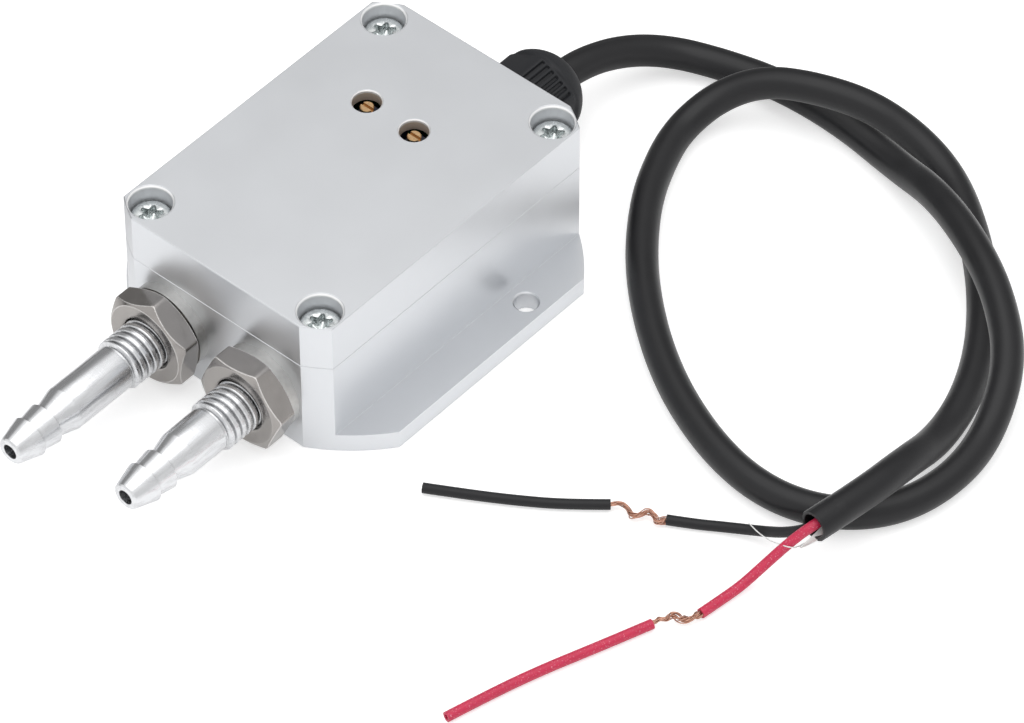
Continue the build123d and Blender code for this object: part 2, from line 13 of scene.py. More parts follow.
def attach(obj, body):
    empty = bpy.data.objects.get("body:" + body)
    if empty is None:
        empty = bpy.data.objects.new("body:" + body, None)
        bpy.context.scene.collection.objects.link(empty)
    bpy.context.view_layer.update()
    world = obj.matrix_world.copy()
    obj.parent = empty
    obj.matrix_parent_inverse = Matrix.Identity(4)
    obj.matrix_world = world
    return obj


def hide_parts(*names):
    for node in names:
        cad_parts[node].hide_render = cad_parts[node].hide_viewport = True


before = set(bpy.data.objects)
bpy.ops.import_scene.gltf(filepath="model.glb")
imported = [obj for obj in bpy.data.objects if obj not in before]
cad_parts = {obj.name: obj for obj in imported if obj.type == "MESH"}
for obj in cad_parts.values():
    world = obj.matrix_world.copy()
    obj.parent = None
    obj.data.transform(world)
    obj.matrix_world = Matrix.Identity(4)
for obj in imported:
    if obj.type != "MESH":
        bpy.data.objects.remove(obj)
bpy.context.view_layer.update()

bl_info = {
    "name": "Wind Pressure Transmitter",
    "version": (1, 0, 0),
    "blender": (4, 5, 0),
    "location": "3D View > Sidebar > Transmitter",
    "description": "Builds the visible pieces, materials and studio of a pressure transmitter",
    "category": "Object",
}

MM = 0.001
HOUSING = "housing"

# Sockets of a Mix node, whose names repeat: its two numbers and its two colours.
NUMBER_A, NUMBER_B, COLOUR_A, COLOUR_B = 2, 3, 6, 7

# Points on a profile's rounded corner, and corners of a thin tube.
EASE_STEPS = 5
TUBE_SIDES = 8

# Places and sizes on the housing, in millimetres, as in the part's source.
PORT_HEIGHT = 10.3
TOTAL_HEIGHT = 30.8
FITTING_XS = (-11.25, 11.25)
SCREW_X = 20.15
SCREW_Y = 30.8
TRIMMER_XS = (-8.3, 3.0)
TRIMMER_Y = 13.0

# How far the drilled holes' walls reach from their axes, and how wide the masks fade out.
COUNTERBORE_REACH = 4.25
ACCESS_REACH = 2.95
MASK_FADE = 0.05

# Hose fittings.
THREAD_RADIUS = 5.0
THREAD_END = -50.7
RELIEF_WIDTH = 0.9
RELIEF_RADIUS = 4.1
SHANK_RADIUS = 4.35
SHANK_LENGTHS = (13.0, 7.6)
NECK_LENGTH = 4.6
NECK_RADIUS = 3.1
REAR_BARB_RADIUS = 4.05
REAR_BARB_LENGTH = 4.1
REAR_NOSE_RADIUS = 3.4
FRONT_BARB_RADIUS = 4.0
FRONT_BARB_LENGTH = 4.6
FRONT_NOSE_RADIUS = 2.7
FITTING_BORE_RADIUS = 1.475
FITTING_BACK = -27.5
TIP_BREAK = 0.3
FITTING_SIDES = 144
THREAD_DEPTH = 0.6
THREAD_ROWS_PER_TURN = 24
THREAD_START = -41.0

# Lock nuts.
NUT_FACE_Y = -43.0
NUT_THICKNESS = 5.0
NUT_APOTHEM = 8.5
NUT_FACE_RADIUS = 8.1
NUT_BACK_BREAK = 0.8
NUT_FRONT_BREAKS = (1.3, 0.8)
NUT_HOLE_RADIUS = 5.08
NUT_TURNS = (21.5, 7.0)
NUT_CORNER_EASE = 0.25

# Lid screws.
HEAD_TOP = 27.8
HEAD_HEIGHT = 4.0
HEAD_RADIUS = 3.68
HEAD_TEETH = 60
HEAD_TOOTH = 0.14
SHANK_TIP = 11.8
SCREW_SHANK_RADIUS = 1.98
SOCKET_RADIUS = 1.8
SOCKET_LOBE = 0.38
SOCKET_DEPTH = 2.2
SOCKET_POINT = 0.3
SCREW_PLACES = ((1, 1, 12), (-1, 1, 47), (-1, -1, 31), (1, -1, 5))

# Dome nut of the gland.
DOME_START = 41.0
DOME_HEX_END = 51.5
DOME_CURVE_START = 51.8
DOME_END = 56.6
DOME_APOTHEM = 8.1
DOME_COLLAR_RADIUS = 8.5
DOME_NOSE_RADIUS = 4.0
DOME_HOLE_RADIUS = 3.55
DOME_THREAD_RADIUS = 5.75
DOME_CORNER_EASE = 0.8
DOME_TURN = -2.0
DOME_CURVE = 1.4
GROOVE_COUNT = 7
GROOVE_PITCH = 1.28
GROOVE_WIDTH = 0.68
GROOVE_DEPTH = 0.5
GROOVE_START = 41.6
GROOVE_END = 50.7

# Bare copper: the bundle's radius and how far a strand leaves it, in millimetres, the turns
# along it and from strand to strand, and the sway of the angle.
BUNDLE_RADIUS = 0.55
STRAND_WANDER = 0.2
STRAND_TURNS = 1.7
STRAND_STEP = 0.38
STRAND_SWAY = 0.6

# Cable, in metres: the radius of the thread in its mouth.
RIP_THREAD_RADIUS = 0.00011

# Routes in millimetres, near the part's source but for the open end and the bare copper.
CABLE_ROUTE = [
    (0, 43.3, 10.3), (0, 53, 10.3), (0.4, 62, 10.0), (2.4, 71.5, 7.4), (6.8, 79.2, 4.4),
    (15.0, 83.9, 3.0), (27, 87.0, 3.0), (42, 87.2, 3.0), (57, 84.4, 3.4), (70, 79.4, 8.4),
    (83, 73.0, 10.4), (95, 65.8, 10.0), (105.5, 56.2, 7.6), (111.2, 43.2, 3.6), (112.8, 31, 3.0),
    (110, 19, 3.0), (102, 10.4, 3.0), (90, 6.8, 3.0), (75.5, 9.2, 3.0), (58, 17.4, 3.0),
    (40.8, 31.2, 3.0), (28.5, 46.5, 3.0), (22.4, 59.5, 3.0), (20.5, 68.0, 3.2), (22.6, 75.6, 6.0),
    (28.3, 80.9, 9.2), (36.8, 84.5, 10.4), (46.9, 88.1, 9.8), (55.8, 90.5, 6.0), (64.8, 89.3, 3.3),
    (74.4, 83.4, 3.0), (85.7, 73.4, 3.0), (95.7, 60.9, 3.0), (102.2, 48.6, 3.0), (105.2, 36.5, 3.3),
    (106.8, 24.5, 8.1), (106.9, 13.7, 9.6), (105.2, 1.5, 9.9),
]
BLACK_WIRE_ROUTE = [
    (105.6, 8.5, 8.6), (104.7, 1.6, 8.9), (100.1, 0.5, 5.3), (95.0, 0.3, 2.1), (88.5, -2.6, 0.98),
    (84.5, -5.3, 0.98), (80.0, -7.8, 0.98),
]
RED_WIRE_ROUTE = [
    (106.5, 8.4, 10.3), (105.7, 1.5, 11.0), (103.1, -1.7, 7.4), (100.9, -7.1, 3.3),
    (99.8, -11.2, 1.2), (99.1, -15.9, 0.95), (98.5, -20.5, 0.95),
]
BLACK_COPPER_ROUTE = [
    (80.9, -7.3, 1.0), (79.9, -7.9, 1.0), (79.2, -9.5, 1.1), (78.2, -8.8, 1.3), (76.3, -8.3, 1.3),
    (75.9, -10.1, 1.1), (75.2, -11.4, 1.2), (72.9, -10.3, 1.2), (71.2, -10.1, 1.0),
    (70.3, -11.5, 0.95), (69.9, -11.8, 0.95),
]
RED_COPPER_ROUTE = [
    (98.6, -20.0, 0.95), (98.4, -20.7, 1.0), (98.5, -21.2, 1.3), (98.0, -22.8, 1.1),
    (97.1, -23.9, 1.2), (95.6, -24.2, 1.7), (95.2, -24.9, 1.6), (95.1, -25.6, 1.1),
    (94.1, -26.2, 1.2), (93.7, -27.1, 1.1), (93.6, -28.2, 0.95), (93.4, -28.7, 0.95),
]
BLACK_SLEEVE_ROUTE = [
    (70.3, -11.5, 0.98), (64.2, -16.8, 0.98), (57.5, -21.4, 0.98), (50.6, -25.7, 0.98),
    (42.9, -30.1, 0.98),
]
RED_SLEEVE_ROUTE = [
    (93.7, -27.8, 0.95), (89.9, -38.4, 0.95), (86.6, -47.1, 0.95), (83.6, -56.4, 0.95),
    (80.9, -66.8, 0.95),
]

# Camera, fitted to the photograph: angles in degrees, lengths in millimetres.
CAMERA_ELEVATION = 46.74
CAMERA_AZIMUTH = 41.28
CAMERA_ROLL = -0.19
CAMERA_DISTANCE = 1261.9
CAMERA_ASIDE = 28.15
CAMERA_UP = -14.26
CAMERA_LENS = 246.1
CAMERA_SENSOR = 36.0

# Studio: how strongly the floor shines to the eye and in metal, its height in metres, the
# sky's dim band at both ends, and the softbox's place and side in metres and its watts.
FLOOR_TO_EYE = 0.5
FLOOR_IN_METAL = 0.3
FLOOR_Z = -0.0002
SKY_LEFT = 0.3
SKY_RIGHT = 0.8
SOFTBOX_PLACE = (0.0, -0.02, 1.1)
SOFTBOX_SIDE = 1.2
SOFTBOX_POWER = 4.5


def linear(code):
    """Linear RGB of an sRGB hex colour."""
    channels = np.array([int(code[i:i + 2], 16) for i in (0, 2, 4)]) / 255
    low = channels / 12.92
    high = ((channels + 0.055) / 1.055) ** 2.4
    return tuple(float(c) for c in np.where(channels <= 0.04045, low, high))


def colour(code, label, text):
    """A colour property with an sRGB hex default."""
    return FloatVectorProperty(
        name=label, description=text, subtype="COLOR", size=3, min=0, max=1, default=linear(code)
    )


def length(millimetres, label, text):
    """A length property in metres with a default in millimetres."""
    return FloatProperty(
        name=label, description=text, unit="LENGTH", min=0, precision=5,
        default=millimetres * MM,
    )


class TransmitterSizes(PropertyGroup):
    cable: length(6.0, "Cable", "Outer diameter of the cable's jacket")
    jacket_bore: length(4.5, "Jacket bore", "Inner diameter of the jacket at its open end")
    black_core: length(1.95, "Black core", "Diameter of the black core")
    red_core: length(1.9, "Red core", "Diameter of the red core")
    strand: length(0.2, "Strand", "Diameter of one copper strand")
    thread_pitch: length(1.5, "Thread pitch", "Pitch of the fittings' thread")
    strands: IntProperty(name="Strands", description="Copper strands in a core", default=14, min=3)


class TransmitterColours(PropertyGroup):
    aluminium: colour("d9dbde", "Housing", "Blasted and anodised aluminium")
    bright: colour("dcdddf", "Fittings", "Turned aluminium")
    nickel: colour("a39f9c", "Lock nuts", "Nickel plating on brass")
    zinc: colour("d9dddd", "Lid screws", "Zinc plating on steel")
    brass: colour("c9a67c", "Trimmer screws", "Turned brass")
    nylon: colour("242528", "Gland", "Black moulded nylon")
    jacket: colour("1b1b1d", "Cable", "Black PVC jacket")
    black: colour("1e1e20", "Black core", "Black PVC insulation")
    red: colour("c4284d", "Red core", "Red PVC insulation")
    copper: colour("c09380", "Copper", "Bare copper strands")
    washer: colour("c4c3c0", "Washers", "Stamped steel washers")
    film: colour("f8f9f7", "Film", "Polyester film and thread in the cable")


def sizes():
    """The size properties of the scene."""
    return bpy.context.scene.transmitter_sizes


def colours():
    """The colour properties of the scene."""
    return bpy.context.scene.transmitter_colours


# Shapes.


def finish_piece(obj, material, replaced=()):
    """Links an object to the scene and the housing, with its material in a slot, and hides the CAD
    parts it replaces.
    """
    bpy.context.scene.collection.objects.link(obj)
    obj.data.materials.append(material)
    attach(obj, HOUSING)
    if replaced:
        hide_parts(*replaced)


def surface(name, grid, loop=False, start=None, end=None, sharp=32):
    """An object from a grid of points whose rows are rings.

    Every row closes on itself. The rows run as a loop back to the first, or end in a pole point
    at either end. Each cell of the grid is one quad and each pole a fan. The enclosed volume,
    the sum of a . (b x c) over the faces' triangles, tells which way the faces are wound.
    """
    rows, sides = grid.shape[:2]
    index = np.arange(rows * sides).reshape(rows, sides)
    lower = index if loop else index[:-1]
    upper = np.roll(index, -1, axis=0) if loop else index[1:]
    quads = np.stack(
        [lower, np.roll(lower, -1, axis=1), np.roll(upper, -1, axis=1), upper], axis=-1
    ).reshape(-1, 4)
    points = grid.reshape(-1, 3)
    fans = []
    for pole, ring in ((start, index[0][::-1]), (end, index[-1])):
        if pole is not None:
            centre = np.full(sides, len(points))
            points = np.vstack([points, pole])
            fans.append(np.stack([ring, np.roll(ring, -1), centre], axis=-1))
    halves = [quads[:, [0, 1, 2]], quads[:, [0, 2, 3]]] + fans
    a, b, c = (points[np.vstack(halves)[:, k]] for k in range(3))
    faces = [quads] + fans
    if np.einsum("ij,ij->", a, np.cross(b, c)) < 0:
        faces = [face[:, ::-1] for face in faces]
    mesh = bpy.data.meshes.new(name)
    mesh.from_pydata(points.tolist(), [], [cell for face in faces for cell in face.tolist()])
    mesh.shade_smooth()
    mesh.set_sharp_from_angle(angle=math.radians(sharp))
    return bpy.data.objects.new(name, mesh)


def eased(corners, ease):
    """A closed profile with every corner rounded by a quadratic curve.

    The curve starts and ends at the distance ease along both sides of the corner P:
    (1-t)^2 A + 2t(1-t) P + t^2 B, for all corners at once.
    """
    p = np.array(corners)
    reach = np.array(ease)[:, None]
    before = np.roll(p, 1, axis=0) - p
    after = np.roll(p, -1, axis=0) - p
    a = p + before * reach / np.linalg.norm(before, axis=1, keepdims=True)
    b = p + after * reach / np.linalg.norm(after, axis=1, keepdims=True)
    t = np.linspace(0, 1, EASE_STEPS)[None, :, None]
    curve = (1 - t) ** 2 * a[:, None] + 2 * t * (1 - t) * p[:, None] + t ** 2 * b[:, None]
    return curve.reshape(-1, 2)


def smooth_step(value):
    """Zero below 0, one above 1, and 3v^2 - 2v^3 between."""
    v = np.clip(value, 0, 1)
    return v * v * (3 - 2 * v)


def along_y(radius, y, angle, x):
    """Points in metres round a port's axis, from radius, y and the angle from +X to +Z."""
    parts = [x + radius * np.cos(angle), y + 0 * angle, PORT_HEIGHT + radius * np.sin(angle)]
    return np.stack(np.broadcast_arrays(*parts), axis=-1) * MM


def full_turn(count):
    """Angles of one full turn, the last one left out."""
    return np.linspace(0, 2 * math.pi, count, endpoint=False)


def hexagon_radius(angle, apothem, ease):
    """Radius of a hexagon with a flat's middle at angle 0 and eased corners.

    The radius is apothem / cos(a), with a measured from the nearest flat's middle. Near a corner
    a smooth minimum with the corner circle takes the point off.
    """
    sixth = math.pi / 3
    a = (angle + sixth / 2) % sixth - sixth / 2
    plain = apothem / np.cos(a)
    corner = apothem / math.cos(sixth / 2) - ease / 2
    gap = np.clip((ease - np.abs(plain - corner)) / ease, 0, 1)
    return np.minimum(plain, corner) - gap ** 2 * ease / 4


def directions(line):
    """The unit direction of a line of points at each of them."""
    t = np.gradient(line, axis=0)
    return t / np.linalg.norm(t, axis=1, keepdims=True)


def cross_axes(t):
    """The two unit axes across a direction t, or across many: t x Z and (t x Z) x t."""
    side = np.cross(t, [0.0, 0.0, 1.0])
    side /= np.linalg.norm(side, axis=-1, keepdims=True)
    return side, np.cross(side, t)


def tube(name, centres, radius):
    """A closed tube round a line of centres.

    Each ring stands on the two axes across the line's direction. Poles close both ends.
    """
    side, up = cross_axes(directions(centres))
    a = full_turn(TUBE_SIDES)[None, :, None]
    rings = centres[:, None] + radius * (np.cos(a) * side[:, None] + np.sin(a) * up[:, None])
    return surface(name, rings, start=centres[0], end=centres[-1], sharp=60)


def cut_end(name, tip, inner, profile, sides, wobble=0.0):
    """The cut end of a cord: a profile turned about the line from its tip to an inner point.

    The profile's rows are radius and depth in millimetres, from inside the cord, over its cut
    face and down the bore to a floor. The radius is r (1 + wobble sin(3a + 0.6)), and poles
    close both ends.
    """
    tip, inner = np.array(tip) * MM, np.array(inner) * MM
    back = (inner - tip) / np.linalg.norm(inner - tip)
    side, up = cross_axes(back)
    radius, depth = (np.array(profile).T * MM)[..., None, None]
    a = full_turn(sides)[None, :, None]
    radius = radius * (1 + wobble * np.sin(3 * a + 0.6))
    grid = tip + radius * (np.cos(a) * side + np.sin(a) * up) + depth * back
    return surface(name, grid, start=tip + depth[0, 0] * back, end=tip + depth[-1, 0] * back)


def stand(obj, right, up, back, place):
    """Turns a camera or a lamp to its three axes, and puts it in its place."""
    axes = np.eye(4)
    axes[:3] = np.stack([right, up, back, place], axis=-1)
    obj.matrix_world = Matrix(axes.tolist())
    bpy.context.scene.collection.objects.link(obj)


def joined(name, objects):
    """One object from several, with their meshes put together as arrays."""
    points, faces, offset = [], [], 0
    for obj in objects:
        mesh = obj.data
        co = np.empty(len(mesh.vertices) * 3)
        mesh.vertices.foreach_get("co", co)
        points.append(co.reshape(-1, 3))
        faces += [[offset + v for v in polygon.vertices] for polygon in mesh.polygons]
        offset += len(mesh.vertices)
    mesh = bpy.data.meshes.new(name)
    mesh.from_pydata(np.vstack(points).tolist(), [], faces)
    mesh.shade_smooth()
    mesh.set_sharp_from_angle(angle=math.radians(32))
    for obj in objects:
        old = obj.data
        bpy.data.objects.remove(obj)
        bpy.data.meshes.remove(old)
    return bpy.data.objects.new(name, mesh)


def smooth_route(name, route, diameter=0.0, caps=True):
    """A NURBS spline with the route's points as its control points, as a round cord."""
    curve = bpy.data.curves.new(name, "CURVE")
    curve.dimensions = "3D"
    spline = curve.splines.new("NURBS")
    spline.points.add(len(route) - 1)
    control = np.ones((len(route), 4))
    control[:, :3] = np.asarray(route, float) * MM
    spline.points.foreach_set("co", control.ravel())
    spline.order_u = 3
    spline.use_endpoint_u = True
    spline.resolution_u = 14
    curve.resolution_u = 14
    curve.bevel_depth = diameter / 2
    curve.bevel_resolution = 8
    curve.use_fill_caps = caps
    return bpy.data.objects.new(name, curve)


def route_points(route):
    """Points along a route's smooth spline, read from the curve without its bevel."""
    guide = smooth_route("guide", route)
    bpy.context.scene.collection.objects.link(guide)
    mesh = bpy.data.meshes.new_from_object(guide)
    co = np.empty(len(mesh.vertices) * 3)
    mesh.vertices.foreach_get("co", co)
    curve = guide.data
    bpy.data.objects.remove(guide)
    bpy.data.curves.remove(curve)
    bpy.data.meshes.remove(mesh)
    return co.reshape(-1, 3)


def run_of(route):
    """Length in metres of a route's smooth spline."""
    return float(np.linalg.norm(np.diff(route_points(route), axis=0), axis=1).sum())


def resampled(points, count):
    """Evenly spaced points along a line of points."""
    steps = np.linalg.norm(np.diff(points, axis=0), axis=1)
    distance = np.concatenate([[0], np.cumsum(steps)])
    even = np.linspace(0, distance[-1], count)
    return np.stack([np.interp(even, distance, points[:, k]) for k in range(3)], axis=-1)


# Materials.


def add(tree, kind, inputs=None, **settings):
    """Adds one node, sets its properties, and fills or links its inputs.

    A node that is given as an input stands for its first output in use.
    """
    made = tree.nodes.new("ShaderNode" + kind)
    for key, value in settings.items():
        setattr(made, key, value)
    for key, value in (inputs or {}).items():
        if isinstance(value, bpy.types.Node):
            value = next(output for output in value.outputs if output.enabled)
        if isinstance(value, bpy.types.NodeSocket):
            tree.links.new(value, made.inputs[key])
        else:
            made.inputs[key].default_value = value
    return made


def begin(name):
    """A new empty material, the function that adds its nodes, and the object's coordinates."""
    material = bpy.data.materials.new(name)
    material.use_nodes = True
    material.node_tree.nodes.clear()
    node = partial(add, material.node_tree)
    return material, node, node("TexCoord").outputs["Object"]


def end(material, shader):
    """The material, with the shader linked to its output."""
    add(material.node_tree, "OutputMaterial", {"Surface": shader})
    return material


def paint(code):
    """Linear colour of an sRGB hex colour, with full alpha."""
    return (*linear(code), 1.0)


def shades(base, dark, light):
    """A Mix node's two colours: darker and lighter versions of one colour."""
    return {
        socket: (*(min(1.0, channel * factor) for channel in base), 1.0)
        for socket, factor in ((COLOUR_A, dark), (COLOUR_B, light))
    }


def span(low, high, start=0.0, stop=1.0):
    """A Map Range node's limits, which carry low to start and high to stop."""
    return {"From Min": low, "From Max": high, "To Min": start, "To Max": stop}


def near(node, place, x, y, radius, mirrored=False):
    """One inside a cylinder along Z round (x, y), in millimetres, and zero outside.

    If mirrored, the cylinder repeats in all four quarters, because the distance is taken with
    the absolute values of the coordinates.
    """
    if mirrored:
        place = node("VectorMath", {0: place}, operation="ABSOLUTE")
    level = node("VectorMath", {0: place, 1: (1, 1, 0)}, operation="MULTIPLY")
    away = node("VectorMath", {0: level, 1: (x * MM, y * MM, 0)}, operation="DISTANCE")
    limits = span((radius - MASK_FADE) * MM, (radius + MASK_FADE) * MM, 1.0, 0.0)
    return node("MapRange", {"Value": away, **limits})


def blasted_aluminium():
    """Aluminium, machined, fine bead blasted and clear anodised.

    The blasting gives the eye a satin sheen that blurs reflections, with a slight cloudiness.
    The beads leave a 0.1 mm grain; it is drawn at 0.35 mm, because finer doesn't show. The
    screws' counterbores and the access holes were drilled last: their walls are rougher and
    scatter more. The access holes' walls are painted light brown, as painted light reflected
    from the brass screws, and the holes' mouths carry a painted highlight over 0.6 mm.
    """
    base = colours().aluminium
    material, node, place = begin("aluminium_bead_blasted_anodised")
    grain = node("TexNoise", {"Vector": place, "Scale": 1 / (0.35 * MM), "Detail": 2.0})
    cloud = node("TexNoise", {"Vector": place, "Scale": 1 / (14 * MM), "Detail": 3.0})
    tint = node("Mix", {"Factor": cloud, **shades(base, 0.965, 1.03)}, data_type="RGBA")
    rough = node("MapRange", {"Value": cloud, **span(0.3, 0.7, 0.3, 0.36)})
    edge = node("Bevel", {"Radius": 0.08 * MM}, samples=6)
    bump = node(
        "Bump", {"Height": grain, "Distance": 0.01 * MM, "Strength": 0.5, "Normal": edge}
    )
    height = node("SeparateXYZ", {0: place}).outputs["Z"]
    limits = span((TOTAL_HEIGHT - 0.12) * MM, (TOTAL_HEIGHT - 0.02) * MM, 1.0, 0.0)
    under = node("MapRange", {"Value": height, **limits})
    limits = span((TOTAL_HEIGHT - 0.7) * MM, (TOTAL_HEIGHT - 0.55) * MM)
    mouth = node("MapRange", {"Value": height, **limits})
    screw = near(node, place, SCREW_X, SCREW_Y, COUNTERBORE_REACH, mirrored=True)
    first, second = (near(node, place, x, TRIMMER_Y, ACCESS_REACH) for x in TRIMMER_XS)
    access = node("Math", {0: first, 1: second}, operation="MAXIMUM")
    drilled = node("Math", {0: screw, 1: access}, operation="MAXIMUM")
    drilled, access = (
        node("Math", {0: mask, 1: under}, operation="MULTIPLY") for mask in (drilled, access)
    )
    # Painted light: the mouths of the drilled holes get a near-white painted highlight. The access
    # holes' walls are painted light brown, as light reflected from the brass screws.
    rim = node("Math", {0: mouth, 1: drilled}, operation="MULTIPLY")
    for mask, code in ((access, "d2c3b4"), (rim, "f6f6f6")):
        ends = {COLOUR_A: tint, COLOUR_B: paint(code)}
        tint = node("Mix", {"Factor": mask, **ends}, data_type="RGBA")
    mirror = node("Mix", {"Factor": drilled, NUMBER_A: 1.0, NUMBER_B: 0.55})
    gloss = node("Mix", {"Factor": drilled, NUMBER_A: rough, NUMBER_B: 0.42})
    return end(material, node("BsdfPrincipled", {
        "Base Color": tint, "Roughness": gloss, "Metallic": mirror, "Normal": bump,
    }))


def turned_aluminium():
    """Aluminium, turned on a lathe and left bright.

    The tool leaves fine rings round the piece, which break its reflections into streaks. The
    rings are 0.1 mm apart; they are drawn at 0.25 mm. Handling leaves duller stripes along it,
    about 1 mm wide and 6 mm long. Corners get painted shade from ambient occlusion, 0.9 mm wide.
    """
    base = colours().bright
    material, node, place = begin("aluminium_bright_turned")
    rings, along = (
        node("Mapping", {"Vector": place, "Scale": scale}, vector_type="POINT")
        for scale in ((0.06, 1.0, 0.06), (1.0, 0.16, 1.0))
    )
    line = node("TexNoise", {"Vector": rings, "Scale": 1 / (0.25 * MM), "Detail": 2.0})
    stripe = node("TexNoise", {"Vector": along, "Scale": 1 / (1.0 * MM), "Detail": 1.0})
    contrast = node("MapRange", {"Value": stripe, **span(0.42, 0.58)})
    tint = node("Mix", {"Factor": contrast, **shades(base, 0.92, 1.03)}, data_type="RGBA")
    rough = node("MapRange", {"Value": contrast, **span(0.0, 1.0, 0.28, 0.2)})
    bump = node("Bump", {"Height": line, "Distance": 0.015 * MM, "Strength": 0.5})
    # Painted shade: ambient occlusion darkens the colour in corners, thread roots and barb steps,
    # mixed in at 55 %.
    hollow = node("AmbientOcclusion", {"Color": tint, "Distance": 0.9 * MM}, samples=8)
    corner_shade = node("Mix", {"Factor": 0.55, COLOUR_A: tint, COLOUR_B: hollow}, data_type="RGBA")
    return end(material, node("BsdfPrincipled", {
        "Base Color": corner_shade, "Roughness": rough, "Metallic": 1.0, "Normal": bump,
    }))


def nickel_plated_brass():
    """Brass, machined to a hexagon and nickel plated.

    The plating gives a warm grey mirror, dulled by handling marks some millimetres across. The
    edges get a painted highlight over 0.3 mm, where the rounded normal leaves the face's own.
    """
    base = colours().nickel
    material, node, place = begin("brass_nickel_plated")
    mark = node("TexNoise", {"Vector": place, "Scale": 1 / (2.5 * MM), "Detail": 5.0})
    fine = node("TexNoise", {"Vector": place, "Scale": 1 / (0.3 * MM), "Detail": 2.0})
    tint = node("Mix", {"Factor": mark, **shades(base, 0.86, 1.08)}, data_type="RGBA")
    rough = node("MapRange", {"Value": mark, **span(0.3, 0.7, 0.14, 0.26)})
    # Painted highlight: where the bevelled normal turns away from the face's own, the edges are
    # painted near white and made less metallic.
    edge = node("Bevel", {"Radius": 0.34 * MM}, samples=8)
    face = node("NewGeometry").outputs["Normal"]
    turn = node("VectorMath", {0: edge, 1: face}, operation="DOT_PRODUCT")
    edge_highlight = node("MapRange", {"Value": turn, **span(0.94, 0.995, 1.0, 0.0)})
    mirror = node("Mix", {"Factor": edge_highlight, NUMBER_A: 1.0, NUMBER_B: 0.3})
    painted_edges = node(
        "Mix", {"Factor": edge_highlight, COLOUR_A: tint, COLOUR_B: paint("f4f2f0")}, data_type="RGBA"
    )
    bump = node(
        "Bump", {"Height": fine, "Distance": 0.01 * MM, "Strength": 0.4, "Normal": edge}
    )
    return end(material, node("BsdfPrincipled", {
        "Base Color": painted_edges, "Roughness": rough, "Metallic": mirror, "Normal": bump,
    }))


def plain_metal(name, base, low, high, grain):
    """A metal with a cloudy finish.

    The roughness wanders between low and high, and the grain, in millimetres, is the size of
    its clouds and of its fine bump.
    """
    material, node, place = begin(name)
    cloud = node("TexNoise", {"Vector": place, "Scale": 1 / (grain * MM), "Detail": 4.0})
    tint = node("Mix", {"Factor": cloud, **shades(base, 0.8, 1.12)}, data_type="RGBA")
    rough = node("MapRange", {"Value": cloud, **span(0.3, 0.7, low, high)})
    bump = node("Bump", {"Height": cloud, "Distance": 0.03 * MM, "Strength": 0.5})
    return end(material, node("BsdfPrincipled", {
        "Base Color": tint, "Roughness": rough, "Metallic": 1.0, "Normal": bump,
    }))


def plain_plastic(name, base, rough, grain, depth, spread=0.12, gleam=0.5):
    """A moulded or extruded plastic or rubber.

    The grain, in millimetres, is the size of its surface texture, and depth how deep that is.
    Soft clouds of colour, spread wide, are the dust and handling that such a surface picks up,
    and gleam is how much of a mirror it is.
    """
    material, node, place = begin(name)
    skin = node("TexNoise", {"Vector": place, "Scale": 1 / (grain * MM), "Detail": 3.0})
    cloud = node("TexNoise", {"Vector": place, "Scale": 1 / (6 * MM), "Detail": 3.0})
    ends = shades(base, 1 - spread, 1 + spread)
    tint = node("Mix", {"Factor": cloud, **ends}, data_type="RGBA")
    gloss = node("MapRange", {"Value": cloud, **span(0.3, 0.7, rough - 0.05, rough + 0.05)})
    bump = node("Bump", {"Height": skin, "Distance": depth * MM, "Strength": 0.6})
    return end(material, node("BsdfPrincipled", {
        "Base Color": tint, "Roughness": gloss, "Normal": bump, "Specular IOR Level": gleam,
    }))


def red_insulation():
    """PVC, extruded over the core and dusted by its talc.

    The dust shows as small pale specks, about 0.25 mm across, on the crimson.
    """
    base = colours().red
    material, node, place = begin("pvc_extruded_red")
    cloud = node("TexNoise", {"Vector": place, "Scale": 1 / (3 * MM), "Detail": 3.0})
    speck = node("TexNoise", {"Vector": place, "Scale": 1 / (0.3 * MM), "Detail": 3.0})
    tint = node("Mix", {"Factor": cloud, **shades(base, 0.85, 1.12)}, data_type="RGBA")
    dust = node("MapRange", {"Value": speck, **span(0.6, 0.72, 0.0, 0.45)})
    dusted = node(
        "Mix", {"Factor": dust, COLOUR_A: tint, COLOUR_B: paint("f0b4c4")}, data_type="RGBA"
    )
    bump = node("Bump", {"Height": speck, "Distance": 0.02 * MM, "Strength": 0.5})
    return end(material, node("BsdfPrincipled", {
        "Base Color": dusted, "Roughness": 0.42, "Normal": bump,
        "Subsurface Weight": 0.15, "Subsurface Scale": 0.4 * MM,
    }))


def polyester_film():
    """Polyester film and thread, milky and thin, so light comes through it."""
    base = colours().film
    material, node, place = begin("polyester_film_milky")
    crease = node("TexNoise", {"Vector": place, "Scale": 1 / (0.8 * MM), "Detail": 3.0})
    bump = node("Bump", {"Height": crease, "Distance": 0.05 * MM, "Strength": 0.6})
    tint = node("Mix", {"Factor": crease, **shades(base, 0.93, 1.0)}, data_type="RGBA")
    return end(material, node("BsdfPrincipled", {
        "Base Color": tint, "Roughness": 0.35, "Normal": bump, "Transmission Weight": 0.15,
    }))


def solder_mask():
    """Glass fibre board with a green solder mask: glossy green over a faint weave, 0.6 mm."""
    material, node, place = begin("fibreglass_solder_masked")
    weave = node("TexChecker", {"Vector": place, "Scale": 1 / (0.6 * MM)}).outputs["Fac"]
    ends = {COLOUR_A: paint("1e6b3c"), COLOUR_B: paint("237544")}
    tint = node("Mix", {"Factor": weave, **ends}, data_type="RGBA")
    return end(material, node("BsdfPrincipled", {"Base Color": tint, "Roughness": 0.3}))


def repaint(nodes, material):
    """Gives CAD nodes a new material in their slots."""
    for name in nodes:
        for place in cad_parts[name].material_slots:
            place.material = material


# Operators.


